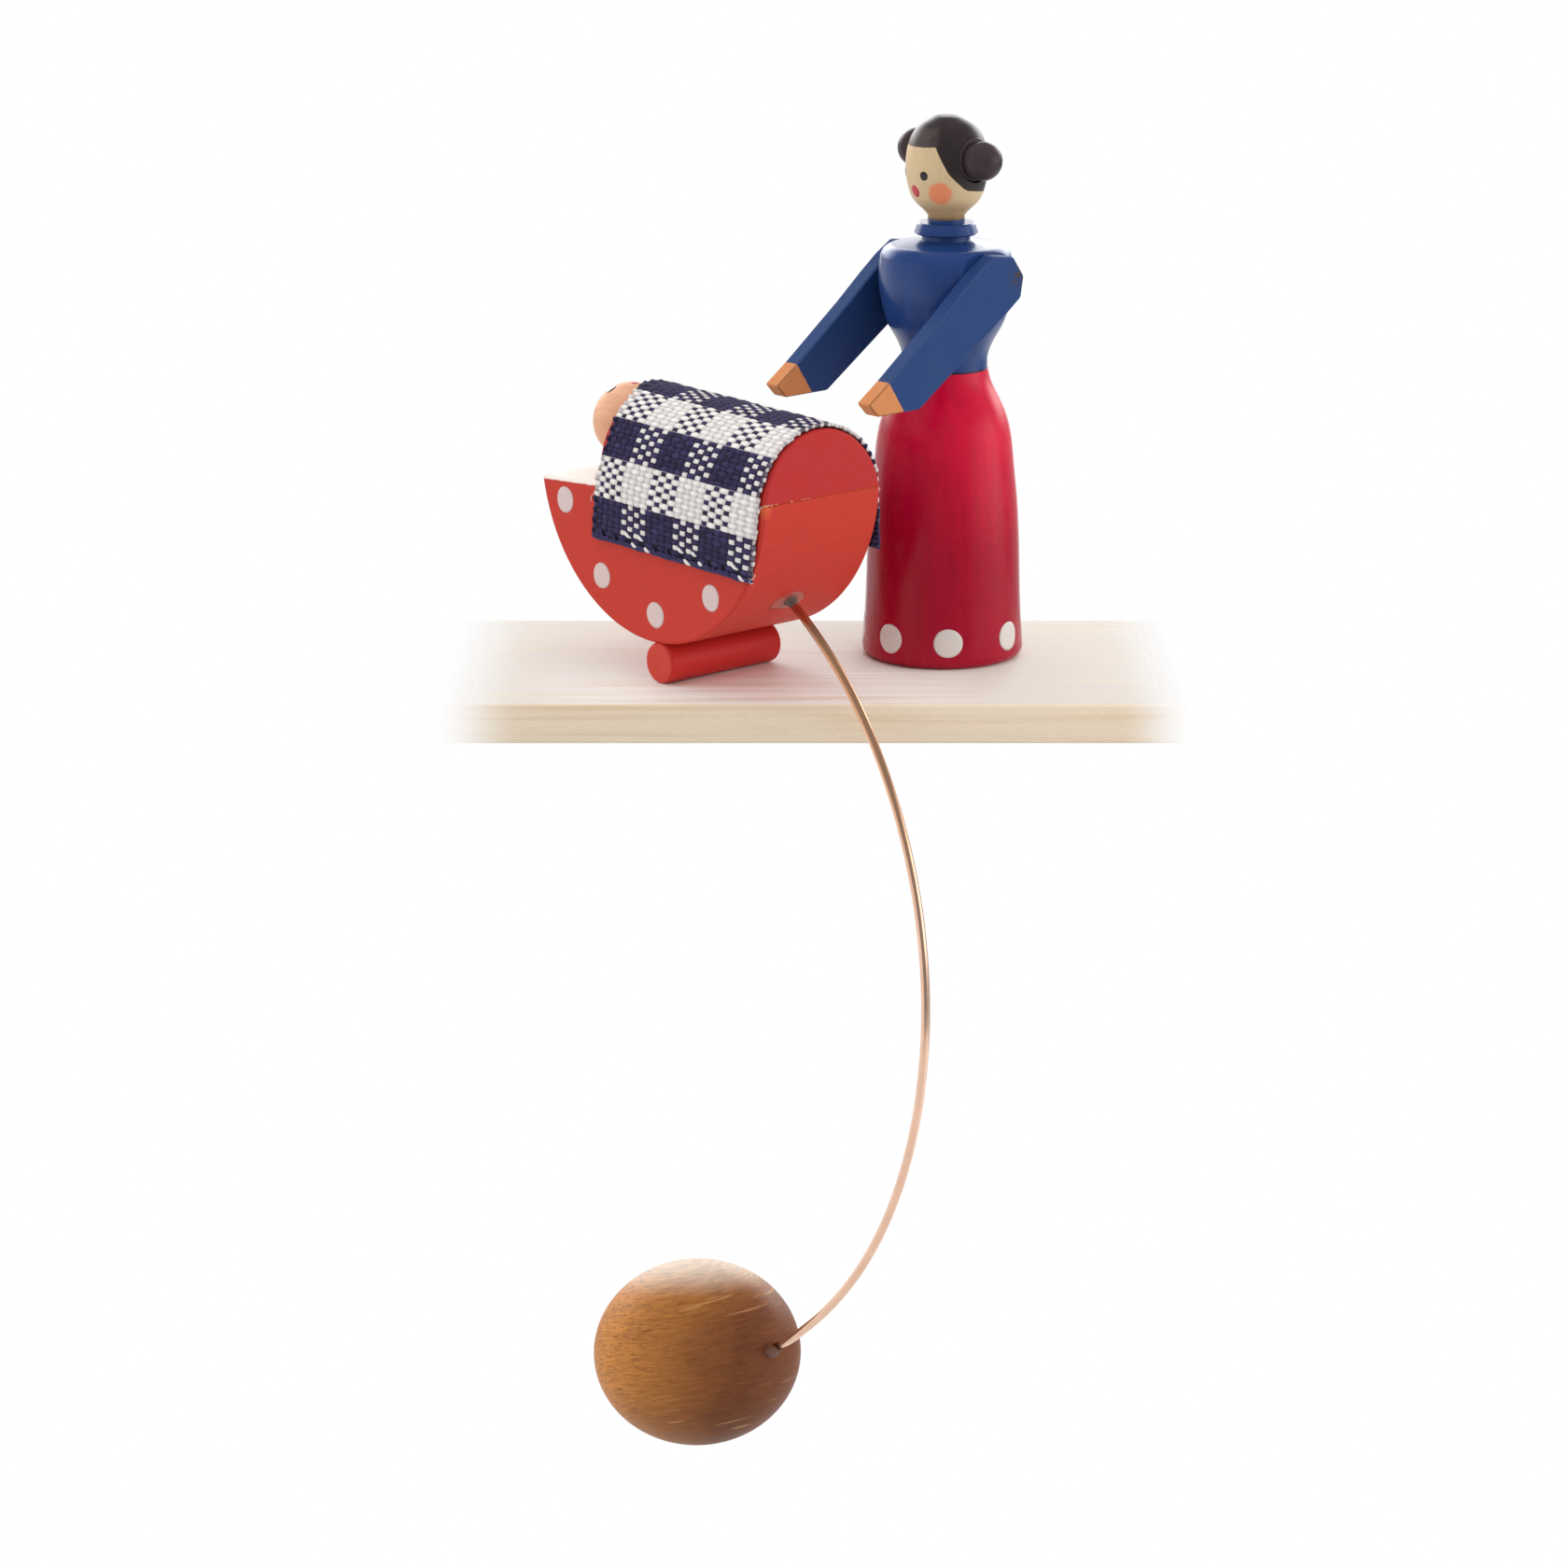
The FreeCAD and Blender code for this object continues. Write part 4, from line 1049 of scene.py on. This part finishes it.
class TOY_OT_glue(bpy.types.Operator):
    """Lay the glue: a smear round the wire, crumbs at the bed's foot, and a plug in the weight."""

    bl_idname = "toy.glue"
    bl_label = "Lay Glue"

    # The crumbs' number, their first place across the cradle and how far on they reach
    CRUMBS, CRUMBS_FIRST, CRUMBS_REACH = 18, -8.2, 9.0

    def execute(self, context):
        self.smear(context.scene.toy_paints)
        self.crumbs()
        self.plug()
        return {"FINISHED"}

    def smear(self, paints):
        """A thin brownish film on the rim, and a small dark cone where the wire leaves it."""
        hole = WIRE_HOLE_ANGLE * RIM_RADIUS
        place = rim_surface(np.array([hole]), np.array([0.0]))[0][0]
        f = Finish("glue film", paint(138, 76, 66), Roughness=0.3)
        f.coat(f.noise(1.2), paint(176, 100, 88))
        f.coat(f.sway(f.span(f.far(place), 0.5, 2.9, 0.1, 0.9), 0.2, 0.9, 2.0), paints.side)
        f.bump(f.noise(1.5, 2.0), 0.06)
        film = lens_patch(rim_surface, (hole - 0.1, -0.3), (1.5, 2.4), 0.03, 0.12, 0.3, seed=3)
        make_piece("glue_film", *film, f.material, "cradle", "cradle_paint")
        cone = clouded("dark glue", 2.0, paint(52, 38, 34), paint(128, 106, 98), 0.22)
        outward = np.array([math.cos(WIRE_HOLE_SLOPE), 0, -math.sin(WIRE_HOLE_SLOPE)])
        path = place + np.linspace(-0.3, 0.95, 8)[:, None] * (to_world(outward) - AXIS_POINT)
        radius = 0.5 + 0.55 * np.linspace(1, 0, 8) ** 2
        make_piece("glue_cone", *tube(path, radius, 20), cone, "cradle", "cradle_paint")

    def crumbs(self):
        """Pale beads along the joint of the bed's foot and the deck.

        Each bead is an ellipsoid of rings r = sin(v) at height cos(v), its radius
        waved by the angle.
        """
        random = np.random.default_rng(11)
        v = np.linspace(0.3, math.pi - 0.3, 7)[:, None]
        t = np.linspace(0, 2 * math.pi, 12, endpoint=False)
        parts = []
        for _ in range(self.CRUMBS):
            y = self.CRUMBS_FIRST + self.CRUMBS_REACH * random.uniform(0, 1) ** 2.2
            size = random.uniform(0.04, 0.14, 3) * (1, 2.0, 0.8)
            wave = np.sin(v) * (1 + 0.2 * np.sin(3 * t + random.uniform(0, 6)))
            centre = np.array([DECK_END + 0.02, y, DECK + random.uniform(-0.02, 0.12)])
            rings = np.stack([wave * np.cos(t), wave * np.sin(t), np.cos(v) + 0 * t], -1) * size + centre
            poles = centre + size * [[0, 0, 1.1], [0, 0, -1.1]]
            parts.append(closed_rings(to_world(rings), *to_world(poles)))
        glue = shaded("dried glue", paint(218, 138, 118), 3.0, 0.85, 1.15, 0.3)
        make_piece("glue_crumbs", *join(parts), glue, "cradle", "cradle_paint")

    def plug(self):
        """Brown glue along the wire's last stretch, thicker inside the weight's hole."""
        glue = clouded("brown glue", 1.5, paint(92, 52, 36), paint(128, 80, 58), 0.3)
        outward = np.array([math.cos(WEIGHT_MOUTH_SLOPE), 0, math.sin(WEIGHT_MOUTH_SLOPE)])
        steps = np.linspace(-0.6, 1.5, 10)
        radius = 0.5 + 0.5 * ease(1 - (steps + 0.6) / 2.1)
        path = WEIGHT_MOUTH + steps[:, None] * outward
        make_piece("glue_plug", *tube(path, radius, 18), glue, "cradle", "stained_hardwood")


class TOY_OT_stage(bpy.types.Operator):
    """Set up the shelf board, the white surround, the lamps and the camera."""

    bl_idname = "toy.stage"
    bl_label = "Set Stage"

    BOARD_LEFT, BOARD_RIGHT, BOARD_ROUND = -80, 50, 0.35
    # Stretches along its length over which the board's ends fade
    LEFT_FADE, RIGHT_FADE = (-55.5, -45.5), (18.0, 26.5)
    # The middle of a painted pool of light on the board, under the cradle, which lightens the cradle's
    # shadow
    LIGHT_POOL = (-3.0, -23.0, 0.0)

    def execute(self, context):
        scene = context.scene
        stage = scene.toy_stage
        c, s = math.cos(stage.heading), math.sin(stage.heading)
        self.right, self.away, self.up = np.array([[c, s, 0], [-s, c, 0], UP])
        self.board(stage, scene.toy_paints)
        self.surround(scene)
        self.lamps(scene)
        self.camera(stage, scene)
        scene.view_settings.view_transform = "Standard"
        return {"FINISHED"}

    def board(self, stage, paints):
        """A board whose section is a rectangle with quarter-round edges, carried along its length."""
        front, back = -stage.board_front / MM, stage.board_back / MM
        thick, edge = stage.board_thickness / MM, self.BOARD_ROUND
        turn = (np.arange(4)[:, None] + np.linspace(0, 1, 6)) * math.pi / 2
        depth = [[back - edge], [front + edge], [front + edge], [back - edge]] + edge * np.cos(turn)
        height = [[-edge], [-edge], [edge - thick], [edge - thick]] + edge * np.sin(turn)
        section = depth.reshape(-1, 1) * self.away + height.reshape(-1, 1) * self.up
        stations = np.linspace(self.BOARD_LEFT, self.BOARD_RIGHT, 3)[:, None] * self.right
        middle = (front + back) / 2 * self.away - thick / 2 * self.up
        shape = closed_rings(stations[:, None] + section, stations[0] + middle, stations[-1] + middle)

        f = Finish("pale board", paints.board, Roughness=0.6, Specular_IOR_Level=0.2)
        grain = functools.partial(f.grain, axes=(self.right, self.away, self.up))
        fibre = grain((0.04, 1.6, 1.6), 5.0, 0.65, distortion=0.2)
        lines = grain((0.02, 0.75, 0.75), 2.0, 0.5, distortion=0.1)
        bands = grain((0.015, 0.28, 0.4), 3.0, 0.55)
        depth, reach = f.along(self.away), f.along(self.right)
        face = f.span(depth, front + 0.3, front + 0.1)
        # Painted light: the board is painted paler round the spot under the cradle, lifting the cradle's
        # shadow and its red cast.
        f.coat(f.span(f.far(self.LIGHT_POOL), 8.0, 32.0, 1.0, 0.0, smooth=True), paint(255, 252, 246))
        # Painted shade: the board is painted darker toward the right, where the right lamp falls strongest.
        f.coat(f.span(reach, 0.0, 20.0, 0.0, 0.6), paint(208, 199, 190))
        f.coat(face, paint(246, 226, 200))
        f.tone(fibre, 0.93, 1.05)
        f.tone(grain((1.6, 7.0, 7.0), 2.0), 0.9, 1.08)
        closer = f.span(depth, 0.0, front + 4, 0.45, 0.7)
        streak = f.times(f.span(lines, 0.48, 0.64), closer, f.span(bands, 0.36, 0.56))
        f.coat(streak, f.mix(face, paint(226, 208, 180), paint(226, 196, 160)))
        f.bump(fibre, 0.05)
        self.fade(f, reach)
        make_piece("shelf_board", *shape, f.material, None, None)

    def fade(self, f, reach):
        """Let the board's two ends fade away for the camera, which never sees its inside."""
        left = f.span(reach, *self.LEFT_FADE, 1.0, 0.0, smooth=True)
        right = f.span(reach, *self.RIGHT_FADE, smooth=True)
        inside = f.node("ShaderNodeNewGeometry", {}, "Backfacing")
        share = f.math("MAXIMUM", inside, f.math("MAXIMUM", left, right))
        share = f.times(share, f.node("ShaderNodeLightPath", {}, "Is Camera Ray"))
        clear = f.node("ShaderNodeBsdfTransparent", {})
        f.show(f.node("ShaderNodeMixShader", {0: share, 1: f.shader.outputs[0], 2: clear}))

    def surround(self, scene):
        """A white tent: plain white to the camera, and in reflections bright in parts.

        Those are the back, the two flanks and the floor below the shelf. Its soft
        light comes more from both sides and from above than from the camera's side.
        """
        scene.world = bpy.data.worlds.new("light tent")
        scene.world.use_nodes = True
        n = Nodes(scene.world.node_tree)
        direction = n.node("ShaderNodeTexCoord", {}, "Generated")
        right, away, up = [n.vector("DOT_PRODUCT", direction, tuple(axis))
                           for axis in (self.right, self.away, self.up)]
        aside = n.math("ABSOLUTE", right)
        ramp = functools.partial(n.span, smooth=True)

        window = n.times(ramp(up, -0.02, 0.2), ramp(aside, 0.04, 0.16, 0.15))
        back = n.times(ramp(away, 0.3, 0.8), ramp(up, 0.66, 0.4), n.plus(n.times(window, 4.4), 0.25))
        streak = ramp(away, 0.87, 0.96)
        flank = n.plus(ramp(right, 0.55, 0.85, 0.0, 1.6), ramp(right, 0.92, 0.99, 0.0, 0.8))
        flank = n.times(flank, ramp(away, 0.4, 0.0), ramp(up, -0.24, -0.04, 0.2))
        other = n.times(ramp(right, -0.4, -0.8), ramp(up, 0.05, -0.15, 0.2, 0.7), ramp(up, -0.42, -0.3))
        flanks = n.times(n.plus(flank, other), ramp(up, 0.5, 0.25))
        floor = ramp(up, -0.3, -0.42, 0.0, 0.6)
        mirrored = n.plus(back, streak, flanks, floor, 0.25)
        soft = n.plus(n.times(up, 0.16), n.times(aside, aside, 0.55), 0.58)

        def white(strength):
            return n.node("ShaderNodeBackground", {"Color": (1, 1, 1), "Strength": strength})

        def ray(kind):
            return n.node("ShaderNodeLightPath", {}, "Is {} Ray".format(kind))

        unseen = n.node("ShaderNodeMixShader", {0: ray("Glossy"), 1: white(soft), 2: white(mirrored)})
        shown = n.math("MAXIMUM", ray("Camera"), ray("Transmission"))
        n.show(n.node("ShaderNodeMixShader", {0: shown, 1: unseen, 2: white(1.0)}))

    def lamps(self, scene):
        """Soft boxes: one overhead and behind, one at each side."""
        target = np.array([-0.005, -0.012, 0.01])
        for name, right, away, up, size, power in (
                ("top box", 0.0, 0.1, 0.5, 0.3, 0.62),
                ("right box", 0.5, -0.1, 0.15, 0.26, 0.75),
                ("left box", -0.45, -0.22, 0.17, 0.26, 0.3)):
            place = right * self.right + away * self.away + up * self.up
            data = bpy.data.lights.new(name, "AREA")
            data.size, data.energy = size, power
            lamp = bpy.data.objects.new(name, data)
            lamp.location = Vector(place)
            lamp.rotation_euler = Vector(place - target).to_track_quat("Z", "Y").to_euler()
            lamp.visible_glossy = False
            scene.collection.objects.link(lamp)

    def camera(self, stage, scene):
        """Camera at the photograph's place, with a long lens and no shift."""
        data = bpy.data.cameras.new("camera")
        data.sensor_fit = "HORIZONTAL"
        data.sensor_width = 36
        data.lens = stage.lens
        data.clip_start, data.clip_end = 0.01, 5
        camera = bpy.data.objects.new("camera", data)
        camera.location = Vector(
            stage.camera_height * self.up - stage.camera_left * self.right - stage.camera_away * self.away)
        camera.rotation_euler = Euler((math.pi / 2 - stage.pitch, 0, stage.heading))
        scene.collection.objects.link(camera)
        scene.camera = camera


class TOY_PT_panel(bpy.types.Panel):
    """Sidebar panel with the toy's settings and steps."""

    bl_label = "Balancing Toy"
    bl_idname = "TOY_PT_panel"
    bl_space_type = "VIEW_3D"
    bl_region_type = "UI"
    bl_category = "Toy"

    def draw(self, context):
        for group in (context.scene.toy_paints, context.scene.toy_cloth, context.scene.toy_stage):
            for key in group.__annotations__:
                self.layout.prop(group, key)
        for step in STEPS:
            self.layout.operator(step.bl_idname)


GROUPS = {"toy_paints": ToyPaints, "toy_cloth": ToyCloth, "toy_stage": ToyStage}
STEPS = (TOY_OT_figure, TOY_OT_cradle, TOY_OT_dots, TOY_OT_faces, TOY_OT_blanket, TOY_OT_glue, TOY_OT_stage)


def register():
    """Add the settings, the steps and the panel."""
    for cls in (*GROUPS.values(), *STEPS, TOY_PT_panel):
        bpy.utils.register_class(cls)
    for key, cls in GROUPS.items():
        setattr(bpy.types.Scene, key, PointerProperty(type=cls))


def unregister():
    """Take them away again."""
    for key in GROUPS:
        delattr(bpy.types.Scene, key)
    for cls in (TOY_PT_panel, *STEPS, *GROUPS.values()):
        bpy.utils.unregister_class(cls)


def main():
    """Run every step."""
    register()
    bpy.ops.toy.figure()
    bpy.ops.toy.cradle()
    bpy.ops.toy.dots()
    bpy.ops.toy.faces()
    bpy.ops.toy.blanket()
    bpy.ops.toy.glue()
    bpy.ops.toy.stage()


if __name__ == "__main__":
    main()
